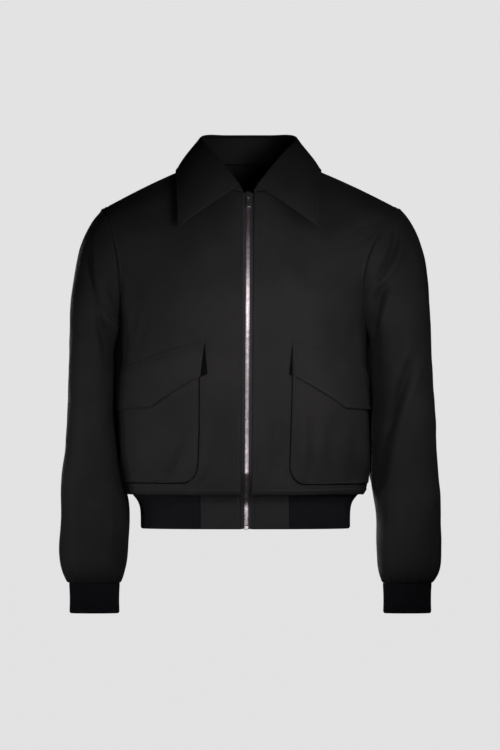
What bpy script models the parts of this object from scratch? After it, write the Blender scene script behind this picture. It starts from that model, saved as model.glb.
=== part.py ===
"""Work jacket: a short zip-front blouson in heavy twill, filled out as if worn.

Every length is in millimetres until a mesh is made.  X runs to the wearer's left, the jacket
faces -Y and +Z is up.  The origin lies on the shoulder line, level with the side of the neck
and on the centre plane, where the wearer's shoulders carry the jacket.
"""
import math

import bmesh
import bpy
import numpy as np
from mathutils import Matrix, Vector
from mathutils.bvhtree import BVHTree

METRES = 0.001

# Cloth and the gaps between pieces
CLOTH = 1.8            # twill wall
RIB_KNIT = 2.0         # rib knit wall, without its raised ribs
RIB_HEIGHT = 0.8
TAPE = 1.0             # zip tape
SEAM_GAP = 0.3         # between two pieces at a seam
ARMHOLE_GAP = 0.6      # the two walls meet at a sharp angle there
LIE_GAP = 1.2          # under a piece that lies on a curved panel

# The zip
ZIP_TOP_X = -0.2       # the closed zip leans a little off the centre plane
ZIP_FOOT_X = -3.5
ZIP_TOP_Z = -42.0
HEM_Z = -578.0
ZIP_OPENING = 8.0      # zip centre to each front edge
CHAIN_WIDTH = 6.2
CHAIN_DEPTH = 2.4
TAPE_WIDTH = 14.0      # from the teeth to the outer edge of one tape
SLIDER_HEIGHT = 12.5
SLIDER_TOP_WIDTH = 10.0
SLIDER_FOOT_WIDTH = 7.6
SLIDER_PLATE = 1.5
SLIDER_FRONT = 0.3     # back of the slider's front plate, from the face of the cloth
CHAIN_FRONT = 0.9      # front of the teeth, behind the face of the cloth
TAPE_FRONT = 2.4       # front of the tapes, behind the face of the cloth
TAPE_EDGE_DROP = 0.9   # the outer edge of a tape lies this much deeper
ZIP_BOX_HEIGHT = 6.5
BRIDGE_WIDTH = 3.0
BRIDGE_LOW = -10.5     # below the top of the slider
BRIDGE_HIGH = -1.5
BRIDGE_REACH = 3.2
BRIDGE_BAR = 1.3
PULL_LENGTH = 18.0
PULL_WIDTH = 8.4
PULL_THICKNESS = 1.3
PULL_CLEARANCE = 0.35  # round the pull's top bar, inside the bridge
PULL_WINDOW = 4.4
PULL_WINDOW_FOOT = 7.6

# The body below the armholes, one row for each level section.
# right_x and left_x: half widths towards the wearer's right and left.
BODY_LEVELS = [
    # z,    front_y, back_y, right_x, left_x
    (-578.0, -104.0, 99.0, 172.0, 162.0),
    (-549.0, -104.5, 99.5, 172.5, 162.5),
    (-533.0, -107.0, 102.0, 177.5, 167.0),
    (-518.0, -115.0, 110.0, 190.0, 180.0),
    (-507.0, -121.5, 117.0, 198.0, 188.0),
    (-490.0, -125.5, 120.0, 201.0, 190.0),
    (-455.0, -129.0, 122.0, 203.5, 191.0),
    (-400.0, -131.0, 121.0, 206.0, 190.0),
    (-345.0, -132.0, 122.0, 207.0, 188.0),
    (-298.0, -131.0, 124.0, 207.0, 187.0),
    (-256.0, -130.0, 125.0, 206.0, 188.0),
]
SEAM_ROW = 3
UNDERARM_ROW = len(BODY_LEVELS) - 1
SIDE_SEAM_Y = 2.0

# The body from the armhole up, one row for each section that fans from the centre to the armhole.
# arm_z is the height on the armhole; wrap is how far the section turns towards the side, in degrees.
ARMHOLE_ROWS = [
    # arm_z, right_x, left_x, front_y, back_y, centre_front z, y, centre_back z, y, wrap
    (-238.0, 205.0, 186.0, -28.0, 30.0, -232.0, -128.5, -230.0, 126.0, 84.0),
    (-215.0, 205.0, 184.5, -46.0, 50.0, -208.0, -126.5, -203.0, 126.5, 76.0),
    (-190.0, 206.0, 184.0, -56.0, 62.0, -184.0, -123.5, -176.0, 125.5, 69.0),
    (-165.0, 208.0, 186.5, -61.0, 68.0, -160.0, -119.5, -148.0, 123.0, 63.0),
    (-140.0, 211.5, 193.5, -61.0, 70.0, -136.0, -114.5, -120.0, 118.5, 59.0),
    (-118.0, 216.0, 204.0, -57.0, 67.0, -112.0, -109.0, -92.0, 112.0, 57.0),
    (-98.0, 221.0, 217.0, -47.0, 57.0, -89.0, -102.0, -63.0, 103.0, 56.0),
    (-80.0, 226.5, 229.0, -30.0, 38.0, -66.0, -94.0, -30.0, 86.0, 56.0),
    (-66.0, 231.0, 238.0, 4.0, 4.0, -42.0, -85.0, 4.0, 62.0, 56.0),
]
TIP_ROW = UNDERARM_ROW + len(ARMHOLE_ROWS)

NECK_POINT = (76.0, 6.0, 8.0)      # where the shoulder seam meets the neck seam
NECK_COLUMN = 0.4                  # share of a panel's top edge that belongs to the neck
SHOULDER_ROUND = 3.0
PANEL_COLUMNS = 10

# Sleeves: one row for each level section below the armhole.
# out_x and in_x are measured from the centre plane; the last row is the cuff seam.
SLEEVE_SECTIONS = {
    "right": [
        # z,    out_x, in_x, front_y, back_y
        (-300.0, 286.0, 215.5, -70.0, 80.0),
        (-345.0, 287.5, 215.5, -71.0, 76.0),
        (-400.0, 289.5, 214.5, -70.0, 70.0),
        (-450.0, 293.0, 209.5, -67.0, 62.0),
        (-495.0, 297.0, 204.5, -66.0, 52.0),
        (-522.0, 298.5, 195.5, -67.0, 46.0),
        (-555.0, 300.0, 191.0, -69.0, 38.0),
        (-600.0, 302.0, 192.0, -71.0, 29.0),
        (-630.0, 300.5, 194.5, -70.0, 25.0),
        (-646.0, 297.0, 198.5, -67.0, 20.0),
        (-657.0, 292.0, 202.5, -62.0, 14.0),
        (-665.0, 286.0, 206.0, -56.0, 8.0),
    ],
    "left": [
        (-300.0, 291.0, 197.5, -68.0, 78.0),
        (-345.0, 295.0, 198.5, -70.0, 75.0),
        (-400.0, 299.5, 199.0, -70.0, 69.0),
        (-450.0, 301.5, 199.0, -67.0, 61.0),
        (-495.0, 303.0, 198.0, -66.0, 52.0),
        (-522.0, 304.5, 201.0, -67.0, 46.0),
        (-555.0, 305.5, 204.5, -69.0, 38.0),
        (-600.0, 306.5, 206.0, -71.0, 29.0),
        (-630.0, 306.0, 207.0, -70.0, 25.0),
        (-646.0, 303.5, 209.5, -67.0, 20.0),
        (-657.0, 298.5, 212.5, -62.0, 14.0),
        (-665.0, 292.0, 215.0, -56.0, 8.0),
    ],
}
SLEEVE_HEAD_REACH = 45.0      # how far the sleeve head springs out at the shoulder tip
SLEEVE_HEAD_STEPS = (0.0, 0.1, 0.22, 0.36, 0.52, 0.7, 0.85)
CUFF_FOOT_Z = -713.0
CUFF_SHRINK = 1.0             # the cuff narrows by this much at each side of its foot
CUFF_RIBS = 38
HEM_RIBS = 84

# Large sleeve folds, one row each.  Angles run round the sleeve from its outer line (0)
# over the front (90) to the inner line (180) and back over the rear (270).
SLEEVE_FOLDS = {
    "right": [
        # top_z, top_angle, foot_z, foot_angle, width, depth
        (-112.0, 52.0, -300.0, 128.0, 11.0, 6.0),
        (-330.0, 292.0, -520.0, 222.0, 16.0, 6.0),
        (-470.0, 62.0, -640.0, 96.0, 14.0, 4.0),
    ],
    "left": [
        (-108.0, 62.0, -215.0, 140.0, 12.0, 7.0),
        (-285.0, 66.0, -520.0, 142.0, 17.0, 10.0),
        (-300.0, 296.0, -500.0, 226.0, 16.0, 7.0),
        (-520.0, 60.0, -640.0, 100.0, 14.0, 4.0),
    ],
}

# Collar, one row for each station from the centre back (0) to the front end (1).
COLLAR_STATIONS = [
    # station, roll line x, y, z, outer edge x, y, z
    (0.00, 0.0, 62.0, 50.0, 0.0, 91.0, -22.0),
    (0.18, 38.0, 57.0, 50.0, 50.0, 88.0, -22.0),
    (0.34, 63.0, 38.0, 50.0, 90.0, 68.0, -21.0),
    (0.48, 72.0, 14.0, 46.0, 110.0, 36.0, -15.0),
    (0.62, 69.0, -12.0, 38.0, 116.0, 2.0, -7.0),
    (0.75, 56.0, -39.0, 24.0, 115.0, -36.0, -28.0),
    (0.88, 35.0, -66.0, -1.0, 113.5, -70.0, -62.0),
    (1.00, 13.0, -88.0, -29.0, 112.5, -92.0, -98.0),
]
COLLAR_COLUMNS = 13           # on each side of the centre back
COLLAR_NECK_SHARE = 0.45      # station of the shoulder seam along the neck seam
STAND_TOP_GAP = 0.9
STAND_FOOT_LIFT = 1.2         # the stand rises from the edge of the neck seam
FOLD_RADIUS = 2.4             # of the leaf's middle where it turns over the stand
LEAF_LIFT = 1.0               # least clearance of the leaf over the body
LEAF_ROWS = 5

# Pockets: x is measured from the centre plane, outline rows run from the top down.
POCKETS = {
    "right": {
        # z, inner edge x
        "patch": [(-296.0, 75.0), (-338.0, 78.5), (-421.0, 79.0), (-478.0, 81.0), (-495.0, 86.0),
                  (-504.0, 99.0)],
        "flap_top": [(69.0, -277.0), (180.0, -313.0), (209.0, -325.0)],
        "flap_foot": [(76.0, -335.5), (150.0, -384.0), (209.0, -389.0)],
    },
    "left": {
        "patch": [(-296.0, 69.5), (-340.0, 70.0), (-421.0, 68.0), (-478.0, 66.5), (-496.0, 71.0),
                  (-506.0, 84.0)],
        "flap_top": [(69.0, -279.0), (152.0, -303.0), (189.0, -325.0)],
        "flap_foot": [(73.0, -336.0), (149.0, -386.0), (189.0, -390.0)],
    },
}
POCKET_SIDE_COLUMN = 0.965    # the outer edge lies just in front of the side seam
POCKET_SWELL = 3.2            # least space in the pocket, under 4 mm
MOUTH_DROP = 17.0             # from the flap's seam down to the pocket's mouth
POCKET_COLUMNS = 12
POCKET_ROWS = 9
FLAP_LIFT_RUN = 12.0          # the flap rises over the mouth within this fall
FLAP_ROWS = 5
WAIST_TAB_X = {"right": 76.0, "left": 65.0}
WAIST_TAB_COLUMNS = 4

SIDE_SIGN = {"right": -1.0, "left": 1.0}

BLACK_TWILL = ((0.013, 0.012, 0.012, 1.0), 0.85, 0.0)
RIB_BLACK = ((0.008, 0.008, 0.010, 1.0), 0.9, 0.0)
TAPE_BLACK = ((0.010, 0.010, 0.014, 1.0), 0.7, 0.0)
BRIGHT_METAL = ((0.60, 0.57, 0.58, 1.0), 0.3, 1.0)
DARK_METAL = ((0.10, 0.10, 0.11, 1.0), 0.35, 1.0)


def clear_scene():
    for item in list(bpy.data.objects):
        bpy.data.objects.remove(item, do_unlink=True)


def material(name, look):
    """A Principled material from a (colour, roughness, metallic) triple."""
    made = bpy.data.materials.get(name)
    if made is None:
        made = bpy.data.materials.new(name)
        made.use_nodes = True
        colour, roughness, metallic = look
        shader = made.node_tree.nodes["Principled BSDF"]
        shader.inputs["Base Color"].default_value = colour
        shader.inputs["Roughness"].default_value = roughness
        shader.inputs["Metallic"].default_value = metallic
    return made


def add_object(name, points, faces, surface, smooth=True):
    """One closed mesh object from points in millimetres."""
    mesh = bpy.data.meshes.new(name)
    work = bmesh.new()
    corners = [work.verts.new(Vector(point) * METRES) for point in points]
    for face in faces:
        work.faces.new([corners[index] for index in face])
    bmesh.ops.recalc_face_normals(work, faces=work.faces)
    work.to_mesh(mesh)
    work.free()
    mesh.materials.append(surface)
    if smooth:
        mesh.shade_smooth()
        mesh.set_sharp_from_angle(angle=math.radians(50.0))
    made = bpy.data.objects.new(name, mesh)
    bpy.context.scene.collection.objects.link(made)
    return made


def unit(vectors):
    """Unit vectors along the last axis."""
    vectors = np.asarray(vectors, dtype=float)
    return vectors / np.maximum(np.linalg.norm(vectors, axis=-1, keepdims=True), 1e-9)


def smooth_step(value):
    value = np.clip(value, 0.0, 1.0)
    return value * value * (3.0 - 2.0 * value)


def grid_normals(grid, loop=False):
    """Unit normals of a grid of points [row, column]; loop joins the last column to the first."""
    if loop:
        along = np.roll(grid, -1, axis=1) - np.roll(grid, 1, axis=1)
    else:
        along = np.gradient(grid, axis=1)
    across = np.gradient(grid, axis=0)
    return unit(np.cross(along, across))


def set_back(outer, inner, edge, distance):
    """Move one edge of a wall into the piece, so that it stays clear of its neighbour."""
    edges = {
        "first_row": (np.s_[0], np.s_[1]),
        "last_row": (np.s_[-1], np.s_[-2]),
        "first_column": (np.s_[:, 0], np.s_[:, 1]),
        "last_column": (np.s_[:, -1], np.s_[:, -2]),
    }
    rim, next_in = edges[edge]
    for grid in (outer, inner):
        grid[rim] += unit(grid[next_in] - grid[rim]) * distance


def seam_level(normals):
    """Normals of a level seam, turned level themselves, so that both rims are flat."""
    return unit(normals * np.array([1.0, 1.0, 0.0]))


def wall_mesh(outer, inner, loop=False):
    """Points and faces of a closed wall between two grids of points [row, column]."""
    rows, columns = outer.shape[:2]
    points = [tuple(point) for point in outer.reshape(-1, 3)]
    points += [tuple(point) for point in inner.reshape(-1, 3)]
    shift = rows * columns
    faces = []
    spans = columns if loop else columns - 1
    for row in range(rows - 1):
        for column in range(spans):
            following = (column + 1) % columns
            a = row * columns + column
            b = row * columns + following
            c = (row + 1) * columns + following
            d = (row + 1) * columns + column
            faces.append((a, b, c, d))
            faces.append((d + shift, c + shift, b + shift, a + shift))
    for column in range(spans):
        following = (column + 1) % columns
        for base, order in ((0, 1), ((rows - 1) * columns, -1)):
            rim = (base + column, base + column + shift, base + following + shift, base + following)
            faces.append(rim[::order])
    if not loop:
        for row in range(rows - 1):
            for base, order in ((0, -1), (columns - 1, 1)):
                low = row * columns + base
                high = low + columns
                rim = (low, low + shift, high + shift, high)
                faces.append(rim[::order])
    return points, faces


def add_wall(name, outer, inner, surface, loop=False):
    points, faces = wall_mesh(outer, inner, loop)
    return add_object(name, points, faces, surface)


def prism_mesh(outline, low_y, high_y):
    """Points and faces of an (x, z) outline carried from low_y to high_y."""
    count = len(outline)
    points = [(x, low_y, z) for x, z in outline] + [(x, high_y, z) for x, z in outline]
    faces = [tuple(range(count)), tuple(range(2 * count - 1, count - 1, -1))]
    for index in range(count):
        following = (index + 1) % count
        faces.append((index, index + count, following + count, following))
    return points, faces


def zip_x(z):
    """Sideways place of the zip's centre at a height."""
    return np.interp(z, [HEM_Z, ZIP_TOP_Z], [ZIP_FOOT_X, ZIP_TOP_X])


def body_row(row, side, face):
    """Centre point, side point and wrap of one body section on one side, front or back."""
    sign = SIDE_SIGN[side]
    if row <= UNDERARM_ROW:
        z, front_y, back_y, right_x, left_x = BODY_LEVELS[row]
        reach = right_x if side == "right" else left_x
        centre_y = front_y if face == "front" else back_y
        return (centre_y, z), (sign * reach, SIDE_SEAM_Y, z), 90.0
    (arm_z, right_x, left_x, front_y, back_y,
     front_z, centre_front_y, back_z, centre_back_y, wrap) = ARMHOLE_ROWS[row - UNDERARM_ROW - 1]
    reach = right_x if side == "right" else left_x
    if face == "front":
        return (centre_front_y, front_z), (sign * reach, front_y, arm_z), wrap
    return (centre_back_y, back_z), (sign * reach, back_y, arm_z), wrap


def section_point(column, centre, side_point, wrap, fullness):
    """A point on one rounded section, from its centre (column 0) to its side (column 1)."""
    turn = math.radians(wrap)
    across = (np.sin(turn * column) / math.sin(turn)) ** fullness
    falling = (np.cos(turn * column) - math.cos(turn)) / (1.0 - math.cos(turn))
    forward = np.maximum(falling, 0.0) ** fullness
    x = centre[0] + (side_point[0] - centre[0]) * across
    y = side_point[1] + (centre[1] - side_point[1]) * forward
    z = centre[2] + (side_point[2] - centre[2]) * across
    return np.array([x, y, z])


def top_edge(column, side, face):
    """Neck seam and then shoulder seam: the upper edge of a front or of half the back."""
    sign = SIDE_SIGN[side]
    centre, tip, _ = body_row(TIP_ROW, side, face)
    neck = np.array([sign * NECK_POINT[0], NECK_POINT[1], NECK_POINT[2]])
    if column <= NECK_COLUMN:
        turn = math.radians(90.0) * column / NECK_COLUMN
        start_x = zip_x(ZIP_TOP_Z) + sign * ZIP_OPENING if face == "front" else 0.0
        return np.array([
            start_x + (neck[0] - start_x) * math.sin(turn),
            neck[1] + (centre[0] - neck[1]) * math.cos(turn),
            neck[2] + (centre[1] - neck[2]) * math.cos(turn) ** 1.4,
        ])
    share = (column - NECK_COLUMN) / (1.0 - NECK_COLUMN)
    point = neck + (np.array(tip) - neck) * share
    point[2] += SHOULDER_ROUND * math.sin(math.pi * share)
    return point


def interpolate_row(row, side, face):
    """Section values at a fractional row."""
    low = min(int(math.floor(row)), TIP_ROW - 1)
    share = row - low
    below = body_row(low, side, face)
    above = body_row(low + 1, side, face)
    centre = tuple(a + (b - a) * share for a, b in zip(below[0], above[0]))
    side_point = tuple(a + (b - a) * share for a, b in zip(below[1], above[1]))
    return centre, side_point, below[2] + (above[2] - below[2]) * share


def body_point(column, row, side, face):
    """A point on the outside of the body: column 0 at the centre, 1 at the side or armhole."""
    centre, side_point, wrap = interpolate_row(row, side, face)
    sign = SIDE_SIGN[side]
    centre_x = zip_x(centre[1]) + sign * ZIP_OPENING if face == "front" else 0.0
    rise = max(0.0, (row - UNDERARM_ROW) / (TIP_ROW - UNDERARM_ROW))
    fullness = 0.82 + 0.16 * min(1.0, 2.0 * rise)
    start = (centre_x, centre[0], centre[1])
    point = section_point(column, start, side_point, wrap, fullness)
    if rise > 0.0:
        last_centre, tip, last_wrap = body_row(TIP_ROW, side, face)
        last_x = zip_x(last_centre[1]) + sign * ZIP_OPENING if face == "front" else 0.0
        last_start = (last_x, last_centre[0], last_centre[1])
        plain = section_point(column, last_start, tip, last_wrap, 0.98)
        point = point + (top_edge(column, side, face) - plain) * rise ** 2.2
    return point


def body_normal(column, row, side, face):
    """Unit normal of the outside of the body."""
    step = 0.004
    c0, c1 = max(column - step, 0.0), min(column + step, 1.0)
    r0, r1 = max(row - step, 0.0), min(row + step, float(TIP_ROW))
    along = body_point(c1, row, side, face) - body_point(c0, row, side, face)
    across = body_point(column, r1, side, face) - body_point(column, r0, side, face)
    normal = unit(np.cross(along, across))
    outward = np.array([0.0, -1.0 if face == "front" else 1.0, 0.15])
    side_out = np.array([SIDE_SIGN[side], 0.0, 0.0])
    if normal @ (outward + side_out) < 0.0:
        normal = -normal
    return normal


def row_at(z):
    """Fractional row of a height below the armhole."""
    return float(np.interp(z, [level[0] for level in BODY_LEVELS], range(len(BODY_LEVELS))))


def column_at(x, row, side):
    """Column of the front panel that lies at a sideways distance from the centre plane."""
    columns = np.linspace(0.0, 1.0, 201)
    reach = [abs(body_point(column, row, side, "front")[0]) for column in columns]
    return float(np.interp(abs(x), reach, columns))


def panel_grid(side, face, first_row, last_row):
    """Points and normals [row, column] of a panel between two rows."""
    columns = np.linspace(0.0, 1.0, PANEL_COLUMNS + 1)
    rows = range(first_row, last_row + 1)
    points = np.array([[body_point(c, r, side, face) for c in columns] for r in rows])
    normals = np.array([[body_normal(c, r, side, face) for c in columns] for r in rows])
    return points, normals


def sleeve_ring(side, angle, z_row):
    """A point on a level sleeve section; the angle runs from the outer line over the front."""
    z, out_x, in_x, front_y, back_y = z_row
    sign = SIDE_SIGN[side]
    middle_x, half_x = (out_x + in_x) / 2.0, (out_x - in_x) / 2.0
    middle_y, half_y = (front_y + back_y) / 2.0, (back_y - front_y) / 2.0
    fullness = 0.88
    x = middle_x + half_x * math.copysign(abs(math.cos(angle)) ** fullness, math.cos(angle))
    y = middle_y - half_y * math.copysign(abs(math.sin(angle)) ** fullness, math.sin(angle))
    return np.array([sign * x, y, z])


def armhole_loop(side):
    """Armhole seam points from the shoulder tip down the front and up the back."""
    front = [np.array(body_row(row, side, "front")[1]) for row in range(TIP_ROW, UNDERARM_ROW - 1, -1)]
    back = [np.array(body_row(row, side, "back")[1]) for row in range(UNDERARM_ROW + 1, TIP_ROW)]
    return front + back


def loop_angles(loop):
    """Angle of each armhole point round the sleeve, by its distance along the seam."""
    half = (len(loop)) // 2
    closed = loop + [loop[0]]
    steps = [np.linalg.norm(closed[i + 1] - closed[i]) for i in range(len(loop))]
    front_run = np.concatenate([[0.0], np.cumsum(steps[:half])])
    back_run = np.concatenate([[0.0], np.cumsum(steps[half:])])
    front = np.pi * front_run / front_run[-1]
    back = np.pi + np.pi * back_run / back_run[-1]
    return np.concatenate([front[:-1], back[:-1]])


def fold_depth(side, angle, z):
    """How far the sleeve's large folds sink at one place."""
    depth = 0.0
    for top_z, top_angle, foot_z, foot_angle, width, deepest in SLEEVE_FOLDS[side]:
        share = (top_z - z) / (top_z - foot_z)
        if 0.0 < share < 1.0:
            centre = math.radians(top_angle + (foot_angle - top_angle) * share)
            away = math.remainder(angle - centre, 2.0 * math.pi) * 58.0
            depth += deepest * math.sin(math.pi * share) * math.exp(-(away / width) ** 2)
    return depth


def sleeve_grid(side):
    """Outside of a sleeve [ring, point round it], from the armhole to the cuff seam."""
    sign = SIDE_SIGN[side]
    loop = armhole_loop(side)
    angles = loop_angles(loop)
    sections = SLEEVE_SECTIONS[side]
    rings = []
    for step in SLEEVE_HEAD_STEPS:
        ring = []
        for start, angle in zip(loop, angles):
            end = sleeve_ring(side, angle, sections[0])
            drop = start[2] - end[2]
            top_share = math.cos(angle / 2.0) ** 2
            spring = np.array([
                sign * (1.5 + SLEEVE_HEAD_REACH * top_share),
                -12.0 * math.sin(angle),
                -(34.0 * top_share + 0.32 * drop * (1.0 - top_share)),
            ])
            lead = start + spring
            arrive = end + np.array([0.0, 0.0, 0.42 * drop])
            near, far = 1.0 - step, step
            ring.append(near ** 3 * start + 3 * near ** 2 * far * lead
                        + 3 * near * far ** 2 * arrive + far ** 3 * end)
        rings.append(ring)
    for section in sections:
        rings.append([sleeve_ring(side, angle, section) for angle in angles])
    grid = np.array(rings)
    inward = -grid_normals(grid, loop=True) * sign
    centre = grid.mean(axis=1, keepdims=True)
    inward *= np.sign(np.sum(inward * (centre - grid), axis=2, keepdims=True))
    for ring in range(1, len(grid) - 1):
        for index, angle in enumerate(angles):
            z = grid[ring, index, 2]
            grid[ring, index] += inward[ring, index] * fold_depth(side, angle, z)
    return grid


def outward_normals(grid):
    """Normals of a tube [ring, point], pointing away from its middle line."""
    normals = grid_normals(grid, loop=True)
    centre = grid.mean(axis=1, keepdims=True)
    facing = np.sign(np.sum(normals * (grid - centre), axis=2).mean())
    return normals * facing


def build_shell():
    """Back, fronts and sleeves share their seam points and their seam directions."""
    twill = material("twill", BLACK_TWILL)
    panels = {}
    for side in SIDE_SIGN:
        for face in ("front", "back"):
            panels[side, face] = panel_grid(side, face, SEAM_ROW, TIP_ROW)
    for _, normals in panels.values():
        normals[0] = seam_level(normals[0])
    sleeves = {side: sleeve_grid(side) for side in SIDE_SIGN}
    sleeve_out = {side: outward_normals(sleeves[side]) for side in SIDE_SIGN}
    neck_columns = int(round(NECK_COLUMN * PANEL_COLUMNS))
    underarm = UNDERARM_ROW - SEAM_ROW
    for side in SIDE_SIGN:
        front = panels[side, "front"][1]
        back = panels[side, "back"][1]
        side_seam = unit(front[:underarm, -1] + back[:underarm, -1])
        front[:underarm, -1] = back[:underarm, -1] = side_seam
        shoulder = unit(front[-1, neck_columns:-1] + back[-1, neck_columns:-1])
        front[-1, neck_columns:-1] = back[-1, neck_columns:-1] = shoulder
        seam_front = list(range(len(front) - 1, underarm - 1, -1))
        seam_back = list(range(underarm + 1, len(back) - 1))
        ring = sleeve_out[side][0].copy()
        tip = unit(front[-1, -1] + back[-1, -1] + 2.0 * ring[0])
        armpit = unit(front[underarm, -1] + back[underarm, -1] + 2.0 * ring[len(seam_front) - 1])
        for index, row in enumerate(seam_front):
            front[row, -1] = ring[index] = unit(front[row, -1] + ring[index])
        for index, row in enumerate(seam_back):
            place = len(seam_front) + index
            back[row, -1] = ring[place] = unit(back[row, -1] + ring[place])
        front[-1, -1] = back[-1, -1] = ring[0] = tip
        lowest = len(seam_front) - 1
        front[underarm, -1] = back[underarm, -1] = ring[lowest] = armpit
        sleeve_out[side][0] = ring
    edge_gap = SEAM_GAP / 2.0
    for side in SIDE_SIGN:
        points, normals = panels[side, "front"]
        outer, inner = points.copy(), points - normals * CLOTH
        for wall in (outer, inner):
            wall[0, :, 2] += edge_gap
        set_back(outer, inner, "last_row", edge_gap)
        set_back(outer, inner, "last_column", edge_gap)
        add_wall("front_" + side, outer, inner, twill)
    right, left = panels["right", "back"], panels["left", "back"]
    points = np.concatenate([right[0][:, ::-1], left[0][:, 1:]], axis=1)
    normals = np.concatenate([right[1][:, ::-1], left[1][:, 1:]], axis=1)
    outer, inner = points.copy(), points - normals * CLOTH
    for wall in (outer, inner):
        wall[0, :, 2] += edge_gap
    for edge in ("last_row", "first_column", "last_column"):
        set_back(outer, inner, edge, edge_gap)
    add_wall("back", outer, inner, twill)
    for side in SIDE_SIGN:
        outer = sleeves[side].copy()
        inner = outer - sleeve_out[side] * CLOTH
        set_back(outer, inner, "first_row", ARMHOLE_GAP)
        set_back(outer, inner, "last_row", edge_gap)
        add_wall("sleeve_" + side, outer, inner, twill, loop=True)


def run_length(points):
    """Distance of each point along a run of points."""
    steps = np.linalg.norm(np.diff(np.asarray(points), axis=0), axis=1)
    return np.concatenate([[0.0], np.cumsum(steps)])


def even_places(points, count):
    return np.linspace(0.0, run_length(points)[-1], count)


def along_run(points, values, places):
    """Values that belong to the points of a run, read at distances along it."""
    run = run_length(points)
    values = np.asarray(values)
    return np.stack([np.interp(places, run, values[:, axis]) for axis in range(3)], axis=1)


def ribbed(outer, normals, loop):
    """Raise every second column of a rib-knit wall."""
    raised = outer.copy()
    first = 0 if loop else 1
    raised[:, first::2] += normals[:, first::2] * RIB_HEIGHT
    return raised


def build_cuffs():
    knit = material("rib_knit", RIB_BLACK)
    for side in SIDE_SIGN:
        seam = SLEEVE_SECTIONS[side][-1]
        foot = (CUFF_FOOT_Z, seam[1] - CUFF_SHRINK, seam[2] + CUFF_SHRINK,
                seam[3] + CUFF_SHRINK, seam[4] - CUFF_SHRINK)
        fine = np.linspace(0.0, 2.0 * math.pi, 241)
        rings = []
        for section in (seam, foot):
            ring = [sleeve_ring(side, angle, section) for angle in fine]
            rings.append(along_run(ring, ring, even_places(ring, 2 * CUFF_RIBS + 1))[:-1])
        grid = np.array(rings)
        grid[0, :, 2] -= SEAM_GAP / 2.0
        normals = outward_normals(grid)
        add_wall("cuff_" + side, ribbed(grid, normals, True), grid - normals * RIB_KNIT, knit, loop=True)


def build_waistband():
    twill = material("twill", BLACK_TWILL)
    knit = material("rib_knit", RIB_BLACK)
    rows = range(0, SEAM_ROW + 1)
    tab_end = {}
    for side in SIDE_SIGN:
        tab_end[side] = [column_at(WAIST_TAB_X[side], row, side) for row in rows]
        outer = []
        inner = []
        for row in rows:
            columns = np.linspace(0.0, tab_end[side][row], WAIST_TAB_COLUMNS + 1)
            line = np.array([body_point(c, row, side, "front") for c in columns])
            normal = np.array([body_normal(c, row, side, "front") for c in columns])
            if row == SEAM_ROW:
                normal = seam_level(normal)
            outer.append(line)
            inner.append(line - normal * CLOTH)
        outer, inner = np.array(outer), np.array(inner)
        for wall in (outer, inner):
            wall[-1, :, 2] -= SEAM_GAP / 2.0
        set_back(outer, inner, "last_column", SEAM_GAP / 2.0)
        add_wall("waist_tab_" + side, outer, inner, twill)
    grid = []
    normals = []
    for row in rows:
        stops = [("right", "front", c) for c in np.linspace(tab_end["right"][row], 1.0, 60)]
        stops += [("right", "back", c) for c in np.linspace(1.0, 0.0, 80)[1:]]
        stops += [("left", "back", c) for c in np.linspace(0.0, 1.0, 80)[1:]]
        stops += [("left", "front", c) for c in np.linspace(1.0, tab_end["left"][row], 60)[1:]]
        line = [body_point(column, row, side, face) for side, face, column in stops]
        facing = [body_normal(column, row, side, face) for side, face, column in stops]
        places = even_places(line, 2 * HEM_RIBS + 1)
        grid.append(along_run(line, line, places))
        normals.append(unit(along_run(line, facing, places)))
    grid, normals = np.array(grid), np.array(normals)
    normals[-1] = seam_level(normals[-1])
    outer = ribbed(grid, normals, False)
    outer[-1] = grid[-1]
    inner = grid - normals * RIB_KNIT
    for wall in (outer, inner):
        wall[-1, :, 2] -= SEAM_GAP / 2.0
    for edge in ("first_column", "last_column"):
        set_back(outer, inner, edge, SEAM_GAP / 2.0)
    add_wall("hem_rib", outer, inner, knit)


def collar_line(station, place):
    """A smooth line through the collar table; place 1 is the roll line, 4 the outer edge."""
    knots = [row[0] for row in COLLAR_STATIONS]
    values = [Vector(row[place:place + 3]) for row in COLLAR_STATIONS]
    index = min(max(np.searchsorted(knots, station) - 1, 0), len(knots) - 2)
    share = (station - knots[index]) / (knots[index + 1] - knots[index])

    def slope(k):
        if k == 0:
            mirrored = Vector((-values[1].x, values[1].y, values[1].z))
            return (values[1] - mirrored) / (2.0 * knots[1])
        if k == len(knots) - 1:
            return (values[k] - values[k - 1]) / (knots[k] - knots[k - 1])
        return (values[k + 1] - values[k - 1]) / (knots[k + 1] - knots[k - 1])

    span = knots[index + 1] - knots[index]
    h00 = 2 * share ** 3 - 3 * share ** 2 + 1
    h10 = share ** 3 - 2 * share ** 2 + share
    h01 = -2 * share ** 3 + 3 * share ** 2
    h11 = share ** 3 - share ** 2
    point = (values[index] * h00 + slope(index) * (h10 * span)
             + values[index + 1] * h01 + slope(index + 1) * (h11 * span))
    return np.array(point)


def neck_seam(station, side):
    """The neck seam, from the centre back (0) to the front end (1)."""
    if station <= COLLAR_NECK_SHARE:
        return top_edge(NECK_COLUMN * station / COLLAR_NECK_SHARE, side, "back")
    share = (1.0 - station) / (1.0 - COLLAR_NECK_SHARE)
    return top_edge(NECK_COLUMN * share, side, "front")


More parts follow.
